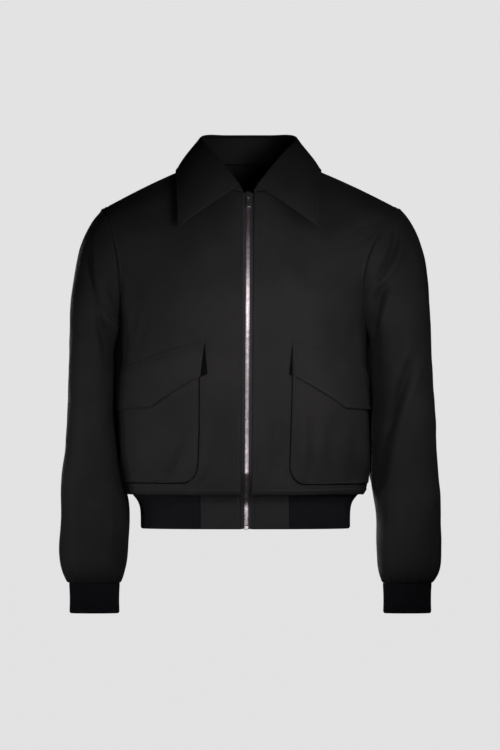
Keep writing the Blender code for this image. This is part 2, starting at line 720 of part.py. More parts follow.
def body_tree():
    """The outside of fronts and back as a search tree, for pieces that lie on them."""
    points = []
    faces = []
    for side in SIDE_SIGN:
        for face in ("front", "back"):
            columns = np.linspace(0.0, 1.0, 31)
            rows = np.linspace(UNDERARM_ROW, TIP_ROW, 37)
            base = len(points)
            for row in rows:
                points += [Vector(body_point(column, row, side, face)) for column in columns]
            for row in range(len(rows) - 1):
                for column in range(len(columns) - 1):
                    a = base + row * len(columns) + column
                    faces.append((a, a + 1, a + 1 + len(columns), a + len(columns)))
    return BVHTree.FromPolygons(points, faces)


def lift_off(point, tree, clearance):
    """Move a point out until it stands at least the clearance off the body."""
    place, normal, _, distance = tree.find_nearest(Vector(point))
    outward = Vector((place.x * 0.4, place.y - 5.0, 60.0))
    if normal.dot(outward) < 0.0:
        normal = -normal
    height = (Vector(point) - place).dot(normal)
    if height < clearance:
        return np.array(Vector(point) + normal * (clearance - height))
    return np.array(point)


def collar_frame(station, side):
    """Stand foot, roll line, outer edge and the stand's up and out directions at one station."""
    mirror = np.array([SIDE_SIGN[side], 1.0, 1.0])
    foot = neck_seam(station, side)
    roll = collar_line(station, 1) * mirror
    edge = collar_line(station, 4) * mirror
    step = 0.01
    ahead = collar_line(min(station + step, 1.0), 1) * mirror
    behind = collar_line(max(station - step, 0.0), 1) * mirror
    tangent = unit(ahead - behind)
    up = roll - foot
    up = unit(up - tangent * (up @ tangent))
    out = np.cross(up, tangent)
    if out @ (edge - roll) < 0.0:
        out = -out
    return foot, roll, edge, up, unit(out)


def build_collar():
    twill = material("twill", BLACK_TWILL)
    tree = body_tree()
    stations = np.linspace(0.0, 1.0, COLLAR_COLUMNS + 1)
    order = [("right", station) for station in stations[::-1]]
    order += [("left", station) for station in stations[1:]]
    stand = []
    leaf = []
    outs = []
    half = CLOTH / 2.0
    for side, station in order:
        foot, roll, edge, up, out = collar_frame(station, side)
        top = roll - up * (FOLD_RADIUS + half)
        stand_foot = foot + up * STAND_FOOT_LIFT
        stand_top = top - up * STAND_TOP_GAP
        stand.append([stand_foot + (stand_top - stand_foot) * share for share in (0.0, 0.5, 1.0)])
        line = []
        for turn in (0.0, 50.0, 100.0, 150.0):
            angle = math.radians(turn)
            line.append(top + out * (FOLD_RADIUS * (1.0 - math.cos(angle)))
                        + up * (FOLD_RADIUS * math.sin(angle)))
        start = line[-1] + out * 0.6 - up * 1.0
        for share in np.linspace(1.0 / LEAF_ROWS, 1.0, LEAF_ROWS):
            point = start + (edge - start) * share
            point = point + out * (5.0 * math.sin(math.pi * share))
            line.append(lift_off(point, tree, LEAF_LIFT + half))
        leaf.append(line)
        outs.append(out)
    outs = np.array(outs)
    for name, lines in (("collar_stand", stand), ("collar_leaf", leaf)):
        grid = np.array(lines).transpose(1, 0, 2)
        normals = grid_normals(grid)
        butt_row = -1 if name == "collar_stand" else 0
        normals[butt_row] = outs * np.sign(np.sum(normals[butt_row] * outs, axis=1, keepdims=True))
        add_wall(name, grid + normals * half, grid - normals * half, twill)


def pocket_rise(down, across):
    """How far the middle of the patch stands off the front, by its place in the patch."""
    side_ease = smooth_step(across * 6.0) * smooth_step((1.0 - across) * 5.0)
    foot_ease = smooth_step((1.0 - down) * 4.0)
    return POCKET_SWELL * side_ease * foot_ease


def build_pockets():
    twill = material("twill", BLACK_TWILL)
    for side in SIDE_SIGN:
        shape = POCKETS[side]
        heights = [row[0] for row in shape["patch"]][::-1]
        inner_x = [row[1] for row in shape["patch"]][::-1]
        top_x, top_z = zip(*shape["flap_top"])
        foot_z = heights[0]
        low, high = [], []
        for share in np.linspace(0.0, 1.0, POCKET_ROWS + 1):
            low_line, high_line = [], []
            for place in np.linspace(0.0, 1.0, POCKET_COLUMNS + 1):
                _, mouth_z = flap_edge_point(top_x, top_z, side, place)
                z = foot_z + (mouth_z - MOUTH_DROP - foot_z) * share
                row = row_at(z)
                first = column_at(float(np.interp(z, heights, inner_x)), row, side)
                column = first + (POCKET_SIDE_COLUMN - first) * place
                rise = LIE_GAP + pocket_rise(1.0 - share, place)
                point = body_point(column, row, side, "front")
                normal = body_normal(column, row, side, "front")
                low_line.append(point + normal * rise)
                high_line.append(point + normal * (rise + CLOTH))
            low.append(low_line)
            high.append(high_line)
        add_wall("pocket_" + side, np.array(high), np.array(low), twill)


def build_flaps():
    twill = material("twill", BLACK_TWILL)
    for side in SIDE_SIGN:
        shape = POCKETS[side]
        top_x, top_z = zip(*shape["flap_top"])
        foot_x, foot_z = zip(*shape["flap_foot"])
        low, high = [], []
        for share in np.linspace(0.0, 1.0, FLAP_ROWS + 1):
            low_line, high_line = [], []
            for place in np.linspace(0.0, 1.0, POCKET_COLUMNS + 1):
                top = flap_edge_point(top_x, top_z, side, place)
                foot = flap_edge_point(foot_x, foot_z, side, place)
                column = foot[0] + (top[0] - foot[0]) * share
                z = foot[1] + (top[1] - foot[1]) * share
                row = row_at(z)
                fall = top[1] - z
                over = LIE_GAP + POCKET_SWELL + CLOTH + LIE_GAP
                rise = LIE_GAP + (over - LIE_GAP) * smooth_step(fall / FLAP_LIFT_RUN)
                point = body_point(column, row, side, "front")
                normal = body_normal(column, row, side, "front")
                low_line.append(point + normal * rise)
                high_line.append(point + normal * (rise + CLOTH))
            low.append(low_line)
            high.append(high_line)
        add_wall("flap_" + side, np.array(high), np.array(low), twill)


def flap_edge_point(xs, zs, side, place):
    """(column, z) on a flap edge; place runs from the inner end (0) to the side (1)."""
    ends = []
    for x, z in zip(xs, zs):
        ends.append((column_at(x, row_at(z), side), z))
    ends[-1] = (POCKET_SIDE_COLUMN, ends[-1][1])
    knots = [(end[0] - ends[0][0]) / (ends[-1][0] - ends[0][0]) for end in ends]
    column = ends[0][0] + (ends[-1][0] - ends[0][0]) * place
    return column, float(np.interp(place, knots, [end[1] for end in ends]))


def centre_profile(row):
    """Depth and height of the outside of the front along the zip, at a fractional row."""
    centre, _, _ = interpolate_row(row, "left", "front")
    return centre


def add_tape(side, front, rows, surface):
    """A zip tape: its near edge lies beside the teeth, the rest is sewn behind the front."""
    sign = SIDE_SIGN[side]
    near = CHAIN_WIDTH / 2.0 + SEAM_GAP
    outer, inner = [], []
    for row in rows:
        _, z = centre_profile(row)
        reach = column_at(abs(zip_x(z) + sign * (near + TAPE_WIDTH)), row, side)
        outer_line, inner_line = [], []
        for column, depth in ((0.0, front), (reach, front + TAPE_EDGE_DROP)):
            point = body_point(column, row, side, "front")
            normal = body_normal(column, row, side, "front")
            outer_line.append(point - normal * depth)
            inner_line.append(point - normal * (depth + TAPE))
        shift = np.array([zip_x(z) + sign * near - outer_line[0][0], 0.0, 0.0])
        outer.append([outer_line[0] + shift] + outer_line)
        inner.append([inner_line[0] + shift] + inner_line)
    add_wall("zip_tape_" + side, np.array(outer), np.array(inner), surface)


def add_chain(front, rows, surface):
    """The closed teeth as one plain bar between the tapes."""
    outer, inner = [], []
    for row in rows:
        y, z = centre_profile(row)
        line = [np.array([zip_x(z) + x, y + front, z]) for x in (-CHAIN_WIDTH / 2.0, CHAIN_WIDTH / 2.0)]
        outer.append(line)
        inner.append([point + np.array([0.0, CHAIN_DEPTH, 0.0]) for point in line])
    add_wall("zip_chain", np.array(outer), np.array(inner), surface)


def union(name, parts, surface):
    """Join overlapping closed meshes into one object."""
    base = add_object(name, *parts[0], surface, smooth=False)
    for index, part in enumerate(parts[1:]):
        tool = add_object("%s_part_%d" % (name, index), *part, surface, smooth=False)
        tool.hide_render = True
        tool.display_type = "WIRE"
        join = base.modifiers.new("join_%d" % index, "BOOLEAN")
        join.operation = "UNION"
        join.object = tool
    return base


def slope_frame():
    """Place and rotation of the top of the zip: its local Z runs up along the leaning front."""
    low_y, low_z = centre_profile(TIP_ROW - 1.0)
    high_y, high_z = centre_profile(TIP_ROW)
    lean = math.atan2(high_y - low_y, high_z - low_z)
    place = Vector((float(zip_x(ZIP_TOP_Z)), high_y, high_z))
    return place, Matrix.Rotation(-lean, 3, "X")


def leaning(mesh_part, place, turn):
    """A (points, faces) pair moved from the zip's local frame to the jacket's."""
    points, faces = mesh_part
    return [tuple(place + turn @ Vector(point)) for point in points], faces


def box_outline(low_x, high_x, low_z, high_z):
    return [(low_x, low_z), (high_x, low_z), (high_x, high_z), (low_x, high_z)]


def build_zip():
    tape = material("zip_tape", TAPE_BLACK)
    bright = material("zip_teeth", BRIGHT_METAL)
    dark = material("zip_metal", DARK_METAL)
    for side in SIDE_SIGN:
        add_tape(side, TAPE_FRONT, range(0, TIP_ROW + 1), tape)
    place, turn = slope_frame()
    low_rows = np.linspace(TIP_ROW - 1.0, TIP_ROW, 101)
    foot_z = ZIP_TOP_Z - (SLIDER_HEIGHT + SEAM_GAP) * turn.col[2].z
    chain_top = max(row for row in low_rows if centre_profile(row)[1] <= foot_z - SEAM_GAP)
    chain_foot = row_at(HEM_Z + ZIP_BOX_HEIGHT)
    add_chain(CHAIN_FRONT, [chain_foot] + list(range(1, TIP_ROW)) + [chain_top], bright)
    for side in SIDE_SIGN:
        near, far = sorted((SIDE_SIGN[side] * 0.9, SIDE_SIGN[side] * 3.0))
        stop = prism_mesh(box_outline(near, far, 0.5, 3.0), CHAIN_FRONT, CHAIN_FRONT + CHAIN_DEPTH)
        add_object("zip_top_stop_" + side, *leaning(stop, place, turn), dark, smooth=False)
    foot_y, _ = centre_profile(0.0)
    half = CHAIN_WIDTH / 2.0
    box = prism_mesh(box_outline(-half, half, -0.5, ZIP_BOX_HEIGHT - 0.8), CHAIN_FRONT - 0.4,
                     CHAIN_FRONT + CHAIN_DEPTH + 0.4)
    foot = Vector((float(zip_x(HEM_Z)), foot_y, HEM_Z))
    add_object("zip_box", *leaning(box, foot, Matrix.Identity(3)), bright, smooth=False)
    build_slider(dark, place, turn)


def build_slider(dark, place, turn):
    """Two plates round the tapes, joined by a post, with a bridge in front that holds the pull."""
    top, foot = 0.0, -SLIDER_HEIGHT
    middle = (top + foot) / 2.0
    wide, narrow = SLIDER_TOP_WIDTH / 2.0, SLIDER_FOOT_WIDTH / 2.0
    shield = [(-wide, top - 1.5), (-wide, middle + 1.0), (-narrow, foot), (narrow, foot),
              (wide, middle + 1.0), (wide, top - 1.5), (wide - 2.0, top), (2.0 - wide, top)]
    back = TAPE_FRONT + TAPE + SEAM_GAP
    parts = [prism_mesh(shield, SLIDER_FRONT - SLIDER_PLATE, SLIDER_FRONT),
             prism_mesh(shield, back, back + SLIDER_PLATE),
             prism_mesh(box_outline(-1.9, 1.9, middle - 1.0, top - 0.8), SLIDER_FRONT - 0.5, back + 0.5)]
    plate = SLIDER_FRONT - SLIDER_PLATE
    reach = plate - BRIDGE_REACH
    half = BRIDGE_WIDTH / 2.0
    parts.append(prism_mesh(box_outline(-half, half, BRIDGE_LOW, BRIDGE_LOW + BRIDGE_BAR), reach, plate + 0.5))
    parts.append(prism_mesh(box_outline(-half, half, BRIDGE_HIGH - BRIDGE_BAR, BRIDGE_HIGH), reach, plate + 0.5))
    parts.append(prism_mesh(box_outline(-half, half, BRIDGE_LOW + 0.1, BRIDGE_HIGH - 0.1), reach - 0.4,
                            reach + BRIDGE_BAR - 0.4))
    union("zip_slider", [leaning(part, place, turn) for part in parts], dark)
    bar = PULL_THICKNESS / 2.0
    clear = PULL_CLEARANCE + bar
    pivot = Vector((0.0, plate - clear, BRIDGE_LOW + BRIDGE_BAR + clear))
    build_pull(dark, place + turn @ pivot, turn)


def build_pull(dark, pivot, turn):
    """The pull hangs by its top bar, which lies in the bridge; its origin is on the swing axis."""
    half = PULL_WIDTH / 2.0
    bar = PULL_THICKNESS / 2.0
    foot = -PULL_LENGTH
    outline = [(-half, bar), (half, bar), (half, foot + 1.5), (half - 1.5, foot),
               (1.5 - half, foot), (-half, foot + 1.5)]
    window = [(-PULL_WINDOW / 2.0, -bar), (PULL_WINDOW / 2.0, -bar),
              (PULL_WINDOW / 2.0, -PULL_WINDOW_FOOT), (-PULL_WINDOW / 2.0, -PULL_WINDOW_FOOT)]
    frame = leaning(frame_mesh(outline, window, -bar, bar), Vector(), turn)
    pull = add_object("zip_pull", *frame, dark, smooth=False)
    pull.location = pivot * METRES


def frame_mesh(outer, window, low_y, high_y):
    """A flat six-sided plate with one four-sided window."""
    points = []
    faces = []
    for y in (low_y, high_y):
        points += [(x, y, z) for x, z in outer] + [(x, y, z) for x, z in window]
    for base in (0, 10):
        o = [base + index for index in range(6)]
        i = [base + 6 + index for index in range(4)]
        faces += [(o[0], o[1], i[1], i[0]), (o[1], o[2], i[2], i[1]), (o[5], o[0], i[0], i[3]),
                  (o[2], o[3], o[4], o[5], i[3], i[2])]
    for first, count in ((0, 6), (6, 4)):
        for index in range(count):
            low, following = first + index, first + (index + 1) % count
            faces.append((low, following, following + 10, low + 10))
    return points, faces


def main():
    clear_scene()
    build_shell()
    build_cuffs()
    build_waistband()
    build_collar()
    build_pockets()
    build_flaps()
    build_zip()


main()
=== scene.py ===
# %% [markdown]
# # A zip-front work jacket
# The jacket is cut from a black wool twill, blouses over rib-knit cuffs and a rib-knit hem, and
# closes with a metal zip.  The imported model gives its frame: where each piece lies and how large
# it is.  This lesson dresses that frame in thin cloth, knit, stitches and teeth.
# Lengths are millimetres until a mesh is made; X runs to the wearer's left and the front faces -Y.

# %% Load the frame
import math
from functools import partial

import bmesh
import bpy
import numpy as np
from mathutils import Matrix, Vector, noise
from mathutils.bvhtree import BVHTree


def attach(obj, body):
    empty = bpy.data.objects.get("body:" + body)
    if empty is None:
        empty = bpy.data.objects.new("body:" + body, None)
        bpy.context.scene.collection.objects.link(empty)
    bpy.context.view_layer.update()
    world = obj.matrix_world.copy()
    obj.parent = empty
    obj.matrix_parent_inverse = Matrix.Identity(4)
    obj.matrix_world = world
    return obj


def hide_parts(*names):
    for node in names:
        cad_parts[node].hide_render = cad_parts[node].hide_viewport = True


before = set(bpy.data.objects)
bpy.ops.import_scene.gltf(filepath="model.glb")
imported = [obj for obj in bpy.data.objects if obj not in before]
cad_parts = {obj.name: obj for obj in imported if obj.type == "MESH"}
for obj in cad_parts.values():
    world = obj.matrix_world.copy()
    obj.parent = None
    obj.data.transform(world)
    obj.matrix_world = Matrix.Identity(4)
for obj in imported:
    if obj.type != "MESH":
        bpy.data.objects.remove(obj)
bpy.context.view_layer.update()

MILLIMETRE = 0.001
SIDE_SIGN = {"right": -1.0, "left": 1.0}


def add_object(name, data):
    made = bpy.data.objects.new(name, data)
    bpy.context.scene.collection.objects.link(made)
    return made


def set_inputs(node, **values):
    """Sets a node's inputs; keywords are socket names with _ for a blank."""
    for socket, value in values.items():
        node.inputs[socket.replace("_", " ")].default_value = value


print("nodes in the frame:", len(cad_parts))

# %% [markdown]
# ## The camera
# The picture was taken from straight in front with a long lens, so that the jacket looks almost
# flat.  A camera far away with a narrow angle does the same: its frame is 1.2 m high where the
# jacket hangs.

# %% Camera
PICTURE_HEIGHT = 1.2
CAMERA_DISTANCE = 14.0
PICTURE_CENTRE = (0.0024, -0.3328)
CAMERA_SEES_TO = 100.0

camera = add_object("camera", bpy.data.cameras.new("camera"))
camera.location = (PICTURE_CENTRE[0], -CAMERA_DISTANCE, PICTURE_CENTRE[1])
camera.rotation_euler = (math.radians(90.0), 0.0, 0.0)
camera.data.sensor_fit = "VERTICAL"
camera.data.angle = 2.0 * math.atan(PICTURE_HEIGHT / 2.0 / CAMERA_DISTANCE)
camera.data.clip_end = CAMERA_SEES_TO
bpy.context.scene.camera = camera
bpy.context.scene.view_settings.view_transform = "Standard"
print("camera angle: %.2f degrees" % math.degrees(camera.data.angle))

# %% [markdown]
# ## Floor and studio light
# A pale seamless ground keeps the eye on the cloth.  To the camera it glows in one pale grey, but
# it throws almost no light back, as that would grey the black cloth.  The light on the jacket
# comes from soft-edged spots at both sides, most of it from low down, which strike along the
# cloth: their sheen shows its folds, and what they miss stays black.

# %% Floor and background
GROUND_GREY = (0.768, 0.768, 0.768, 1.0)
GROUND_SEEN, GROUND_LIT = 0.995, 0.01     # glow that the camera sees, glow that falls on things
FLOOR_Z = -1.02
FLOOR_REACH = 30.0
FILL_STRENGTH = 0.003

ground = bpy.data.materials.new("ground")
ground.use_nodes = True
ground_shader = ground.node_tree.nodes["Principled BSDF"]
set_inputs(ground_shader, Base_Color=(0.008, 0.008, 0.008, 1.0), Roughness=1.0,
           Specular_IOR_Level=0.0, Emission_Color=GROUND_GREY)
ground_view = ground.node_tree.nodes.new("ShaderNodeLightPath")
ground_glow = ground.node_tree.nodes.new("ShaderNodeMapRange")
set_inputs(ground_glow, To_Min=GROUND_LIT, To_Max=GROUND_SEEN)
ground.node_tree.links.new(ground_view.outputs["Is Camera Ray"], ground_glow.inputs["Value"])
ground.node_tree.links.new(ground_glow.outputs["Result"], ground_shader.inputs["Emission Strength"])

floor_mesh = bpy.data.meshes.new("floor")
floor_mesh.from_pydata([(x * FLOOR_REACH, y * FLOOR_REACH, FLOOR_Z)
                        for x, y in ((-1, -1), (1, -1), (1, 1), (-1, 1))], [], [(0, 1, 2, 3)])
floor_mesh.materials.append(ground)
floor = add_object("floor", floor_mesh)

studio = bpy.data.worlds.new("studio")
bpy.context.scene.world = studio
studio.use_nodes = True
studio_nodes = studio.node_tree.nodes
studio_links = studio.node_tree.links
backdrop = studio_nodes["Background"]
fill_light = studio_nodes.new("ShaderNodeBackground")
set_inputs(backdrop, Color=GROUND_GREY)
set_inputs(fill_light, Color=(0.95, 0.97, 1.0, 1.0), Strength=FILL_STRENGTH)
seen_directly = studio_nodes.new("ShaderNodeLightPath")
backdrop_or_fill = studio_nodes.new("ShaderNodeMixShader")
studio_links.new(seen_directly.outputs["Is Camera Ray"], backdrop_or_fill.inputs["Fac"])
studio_links.new(fill_light.outputs["Background"], backdrop_or_fill.inputs[1])
studio_links.new(backdrop.outputs["Background"], backdrop_or_fill.inputs[2])
studio_links.new(backdrop_or_fill.outputs["Shader"], studio_nodes["World Output"].inputs["Surface"])
print("floor %.2f m below the origin, %.0f m wide" % (-FLOOR_Z, 2.0 * FLOOR_REACH))

# %% Lights
SPOT_DISTANCE = 2.5
SPOT_REACH = 0.48          # radius of the pool of light at the jacket
SPOT_RADIUS = 0.2
SPOT_OFF_FLOOR = 0.05
JACKET_MIDDLE = Vector((0.0, 0.0, -0.45))
# name, turn in degrees from the front towards +X, height angle, power
SPOTS = [
    ("left_low_spot", -62.0, -22.0, 72.0),
    ("left_edge_spot", -82.0, -8.0, 42.0),
    ("front_low_spot", -10.0, -22.0, 60.0),
    ("front_spot", 14.0, 14.0, 66.0),
    ("right_front_spot", 42.0, 26.0, 34.0),
    ("right_spot", 72.0, 22.0, 30.0),
]
# name, place, aim, side, power
BOXES = [
    ("collar_box", (0.12, -0.62, -0.14), (0.02, 0.0, 0.02), 0.12, 1.3),
    ("rear_box", (-0.5, 1.9, -0.3), (0.0, 0.0, -0.42), 0.9, 14.0),
]


def add_light(name, kind, place, aim, power):
    """A light in metres that looks from one point to another."""
    light = add_object(name, bpy.data.lights.new(name, kind))
    light.data.energy = power
    light.location = place
    light.rotation_euler = (Vector(aim) - Vector(place)).to_track_quat("-Z", "Y").to_euler()
    return light


for name, turn, tilt, power in SPOTS:
    across, up = math.radians(turn), math.radians(tilt)
    place = JACKET_MIDDLE + SPOT_DISTANCE * Vector(
        (math.sin(across) * math.cos(up), -math.cos(across) * math.cos(up), math.sin(up)))
    place.z = max(place.z, FLOOR_Z + SPOT_OFF_FLOOR)
    spot = add_light(name, "SPOT", place, JACKET_MIDDLE, power).data
    spot.spot_size = 2.0 * math.atan(SPOT_REACH / SPOT_DISTANCE)
    spot.spot_blend = 1.0
    spot.shadow_soft_size = SPOT_RADIUS
for name, place, aim, side, power in BOXES:
    box = add_light(name, "AREA", place, aim, power)
    box.data.shape = "RECTANGLE"
    box.data.size = box.data.size_y = side
    box.visible_camera = False
print("lights:", len(SPOTS) + len(BOXES))

# %% [markdown]
# ## Shared effects
# Twill shows fine slanting ribs, knit shows loops, all cloth varies a little in tone, and metal
# tarnishes.  Each effect is a node group with named inputs, so that a material can use it with its
# own sizes.  Weave and loops follow the cloth map that every piece gets, whose unit is the metre;
# tone and tarnish follow the place in space.  The groups put out masks and heights.


# %% Node group helpers
def new_group(name, inputs, outputs):
    """A shader node group with named float inputs and outputs, and its two end nodes."""
    group = bpy.data.node_groups.new(name, "ShaderNodeTree")
    for socket, value in inputs.items():
        made = group.interface.new_socket(socket, in_out="INPUT", socket_type="NodeSocketFloat")
        made.default_value = value
    for socket in outputs:
        group.interface.new_socket(socket, in_out="OUTPUT", socket_type="NodeSocketFloat")
    return group, group.nodes.new("NodeGroupInput"), group.nodes.new("NodeGroupOutput")


def feed(tree, value, socket):
    """Gives an input its value, which is a socket or a number."""
    if isinstance(value, bpy.types.NodeSocket):
        tree.links.new(value, socket)
    elif value is not None:
        socket.default_value = value


def calculate(tree, operation, first, second=None):
    """A Math node; its inputs are sockets or numbers."""
    node = tree.nodes.new("ShaderNodeMath")
    node.operation = operation
    feed(tree, first, node.inputs[0])
    feed(tree, second, node.inputs[1])
    return node.outputs[0]


def noise_value(tree, vector, scale, detail=2.0, roughness=0.5):
    """The factor of a Noise Texture; the scale is a socket or a number."""
    node = tree.nodes.new("ShaderNodeTexNoise")
    set_inputs(node, Detail=detail, Roughness=roughness)
    feed(tree, vector, node.inputs["Vector"])
    feed(tree, scale, node.inputs["Scale"])
    return node.outputs["Fac"]


def patch_noise(tree, place, size_mm, detail, roughness=0.5):
    """Noise whose patches are about as large as a socket says, in millimetres."""
    scale = calculate(tree, "DIVIDE", 1.0 / MILLIMETRE, size_mm)
    return noise_value(tree, place, scale, detail, roughness)


def cloth_place(tree):
    """The cloth map in metres, and its X and Y apart."""
    cloth_map = tree.nodes.new("ShaderNodeUVMap")
    cloth_map.uv_map = "cloth"
    apart = tree.nodes.new("ShaderNodeSeparateXYZ")
    tree.links.new(cloth_map.outputs["UV"], apart.inputs[0])
    return cloth_map.outputs["UV"], apart.outputs["X"], apart.outputs["Y"]


# %% Twill weave group
TWILL_SLANT = 0.8
TWILL_WANDER = 0.0012                         # metres
WANDER_SCALE, FIBRE_SCALE = 160.0, 2600.0     # per metre

twill_group, twill_in, twill_out = new_group(
    "twill_weave", {"Rib Width mm": 0.9, "Yarn Unevenness": 0.4}, ["Height", "Nap"])
combine = partial(calculate, twill_group)
place, map_x, map_y = cloth_place(twill_group)
slant = combine("ADD", map_x, combine("MULTIPLY", map_y, TWILL_SLANT))
wander = combine("MULTIPLY", noise_value(twill_group, place, WANDER_SCALE),
                 combine("MULTIPLY", twill_in.outputs["Yarn Unevenness"], TWILL_WANDER))
turns = combine("DIVIDE", combine("ADD", slant, wander),
                combine("MULTIPLY", twill_in.outputs["Rib Width mm"], MILLIMETRE))
twill_rib = combine("SINE", combine("MULTIPLY", turns, 2.0 * math.pi))
fibre = noise_value(twill_group, place, FIBRE_SCALE, 3.0, 0.7)
twill_height = combine("ADD", combine("MULTIPLY", twill_rib, 0.5), fibre)
twill_group.links.new(twill_height, twill_out.inputs["Height"])
twill_group.links.new(fibre, twill_out.inputs["Nap"])
print("twill group nodes:", len(twill_group.nodes))

# %% Tone group
tone_group, tone_in, tone_out = new_group(
    "cloth_tone", {"Patch Size mm": 60.0, "Fleck Size mm": 4.0, "Fleck Share": 0.35}, ["Tone"])
combine = partial(calculate, tone_group)
place = tone_group.nodes.new("ShaderNodeTexCoord").outputs["Object"]
patches = patch_noise(tone_group, place, tone_in.outputs["Patch Size mm"], 3.0)
flecks = patch_noise(tone_group, place, tone_in.outputs["Fleck Size mm"], 2.0, 0.6)
flecks = combine("MULTIPLY", combine("SUBTRACT", flecks, 0.5), tone_in.outputs["Fleck Share"])
tone_group.links.new(combine("ADD", patches, flecks), tone_out.inputs["Tone"])
print("tone group nodes:", len(tone_group.nodes))

# %% Knit group
knit_group, knit_in, knit_out = new_group(
    "rib_knit_loops", {"Loop Width mm": 1.25, "Loop Height mm": 1.0}, ["Height"])
combine = partial(calculate, knit_group)
_, map_x, map_y = cloth_place(knit_group)
across, along = [combine("DIVIDE", part, combine("MULTIPLY", knit_in.outputs[size], MILLIMETRE))
                 for part, size in ((map_x, "Loop Width mm"), (map_y, "Loop Height mm"))]
leg = combine("PINGPONG", across, 0.5)
loops, legs = [combine("SINE", combine("MULTIPLY", turn, 2.0 * math.pi))
               for turn in (combine("ADD", along, leg), leg)]
knit_group.links.new(combine("ADD", combine("MULTIPLY", loops, 0.35), legs), knit_out.inputs["Height"])
print("knit group nodes:", len(knit_group.nodes))

# %% Tarnish group
SCRATCH_SCALE = 5200.0
tarnish_group, tarnish_in, tarnish_out = new_group(
    "metal_tarnish", {"Spot Size mm": 1.5}, ["Tarnish", "Scratches"])
place = tarnish_group.nodes.new("ShaderNodeTexCoord").outputs["Object"]
spots = patch_noise(tarnish_group, place, tarnish_in.outputs["Spot Size mm"], 3.0, 0.6)
tarnish_group.links.new(spots, tarnish_out.inputs["Tarnish"])
tarnish_group.links.new(noise_value(tarnish_group, place, SCRATCH_SCALE, 2.0, 0.8),
                        tarnish_out.inputs["Scratches"])
print("node groups:", sorted(group.name for group in bpy.data.node_groups))

# %% [markdown]
# ## Finishes
# Black wool is never quite black: it is a very dark, slightly warm brown-grey whose short nap
# catches light as a soft sheen.  Beside the pockets a near-black, dull copy of the twill is painted
# shade, standing for the shadow in the gaps there.  The rib knit is bluer and duller, and the zip
# tape has a navy cast.  The teeth are bright and a little rosy, and the slider is a paler, greyer metal.


# %% Material helper
def new_finish(name, groups, colour, rough, relief=None, **surface):
    """A material of node groups and their sizes.  Colour is (mask, dark, light), rough is
    (mask, low, high) and relief is (height, depth in mm, strength); surface holds even values."""
    made = bpy.data.materials.new(name)
    made.use_nodes = True
    tree = made.node_tree
    shader = tree.nodes["Principled BSDF"]
    masks = {}
    for group, sizes in groups:
        node = tree.nodes.new("ShaderNodeGroup")
        node.node_tree = group
        set_inputs(node, **sizes)
        masks.update({socket.name: socket for socket in node.outputs})
    ramp = tree.nodes.new("ShaderNodeValToRGB")
    for element, position, tint in zip(ramp.color_ramp.elements, (0.3, 0.7), colour[1:]):
        element.position = position
        element.color = (*tint, 1.0)
    tree.links.new(masks[colour[0]], ramp.inputs["Fac"])
    tree.links.new(ramp.outputs["Color"], shader.inputs["Base Color"])
    span = tree.nodes.new("ShaderNodeMapRange")
    set_inputs(span, To_Min=rough[1], To_Max=rough[2])
    tree.links.new(masks[rough[0]], span.inputs["Value"])
    tree.links.new(span.outputs["Result"], shader.inputs["Roughness"])
    if relief:
        bump = tree.nodes.new("ShaderNodeBump")
        set_inputs(bump, Distance=relief[1] * MILLIMETRE, Strength=relief[2])
        tree.links.new(masks[relief[0]], bump.inputs["Height"])
        tree.links.new(bump.outputs["Normal"], shader.inputs["Normal"])
    set_inputs(shader, **surface)
    return made


def tones(patch, fleck, share):
    return tone_group, {"Patch_Size_mm": patch, "Fleck_Size_mm": fleck, "Fleck_Share": share}


def weave(width, unevenness):
    return twill_group, {"Rib_Width_mm": width, "Yarn_Unevenness": unevenness}


# %% Twill, its near-black copy for painted shade, and thread
def twill_finish(name, dark, light, sheen, shine):
    return new_finish(name, [weave(0.9, 0.5), tones(70.0, 3.0, 0.5)], ("Tone", dark, light),
                      ("Nap", 0.62, 0.95), ("Height", 0.12, 0.55), Specular_IOR_Level=shine,
                      Sheen_Weight=sheen, Sheen_Roughness=0.55, Sheen_Tint=(1.0, 0.96, 0.97, 1.0))


twill = twill_finish("wool_twill", (0.0095, 0.0085, 0.0089), (0.0150, 0.0134, 0.0140), 0.014, 0.22)
# painted shade: a near-black, dull copy of the twill, used only on the pockets' bellows and strips to
# colour in the shadow of the gaps there
painted_shade_twill = twill_finish("twill_painted_shade", (0.0022, 0.0020, 0.0021), (0.0036, 0.0032, 0.0034),
                            0.0, 0.03)
thread = new_finish("sewing_thread", [tones(5.0, 1.0, 0.5)],
                    ("Tone", (0.006, 0.0055, 0.006), (0.013, 0.012, 0.0125)), ("Tone", 0.45, 0.65),
                    Sheen_Weight=0.05)

# %% Rib knit and zip tape
knit = new_finish(
    "rib_knit_yarn", [(knit_group, {"Loop_Width_mm": 1.25, "Loop_Height_mm": 1.0}), tones(40.0, 2.0, 0.4)],
    ("Tone", (0.0034, 0.0036, 0.0052), (0.0062, 0.0064, 0.0092)), ("Tone", 0.8, 1.0), ("Height", 0.25, 0.5),
    Specular_IOR_Level=0.15, Sheen_Weight=0.025, Sheen_Tint=(0.85, 0.88, 1.0, 1.0))
tape_finish = new_finish(
    "zip_tape_cloth", [weave(0.7, 0.15), tones(30.0, 1.5, 0.5)],
    ("Tone", (0.0042, 0.0038, 0.0062), (0.0085, 0.0078, 0.0125)), ("Nap", 0.55, 0.8), ("Height", 0.15, 0.6),
    Sheen_Weight=0.02)


# %% Zip metals
def metal_finish(name, dark, light, smooth, rough, spot_mm):
    return new_finish(name, [(tarnish_group, {"Spot_Size_mm": spot_mm})], ("Tarnish", dark, light),
                      ("Tarnish", smooth, rough), ("Scratches", 0.03, 0.4), Metallic=1.0)


teeth_metal = metal_finish("zip_teeth_metal", (0.34, 0.29, 0.32), (0.74, 0.63, 0.68), 0.38, 0.24, 6.0)
slider_metal = metal_finish("slider_gunmetal", (0.22, 0.22, 0.23), (0.42, 0.41, 0.42), 0.36, 0.22, 2.0)
print("materials:", sorted(item.name for item in bpy.data.materials))

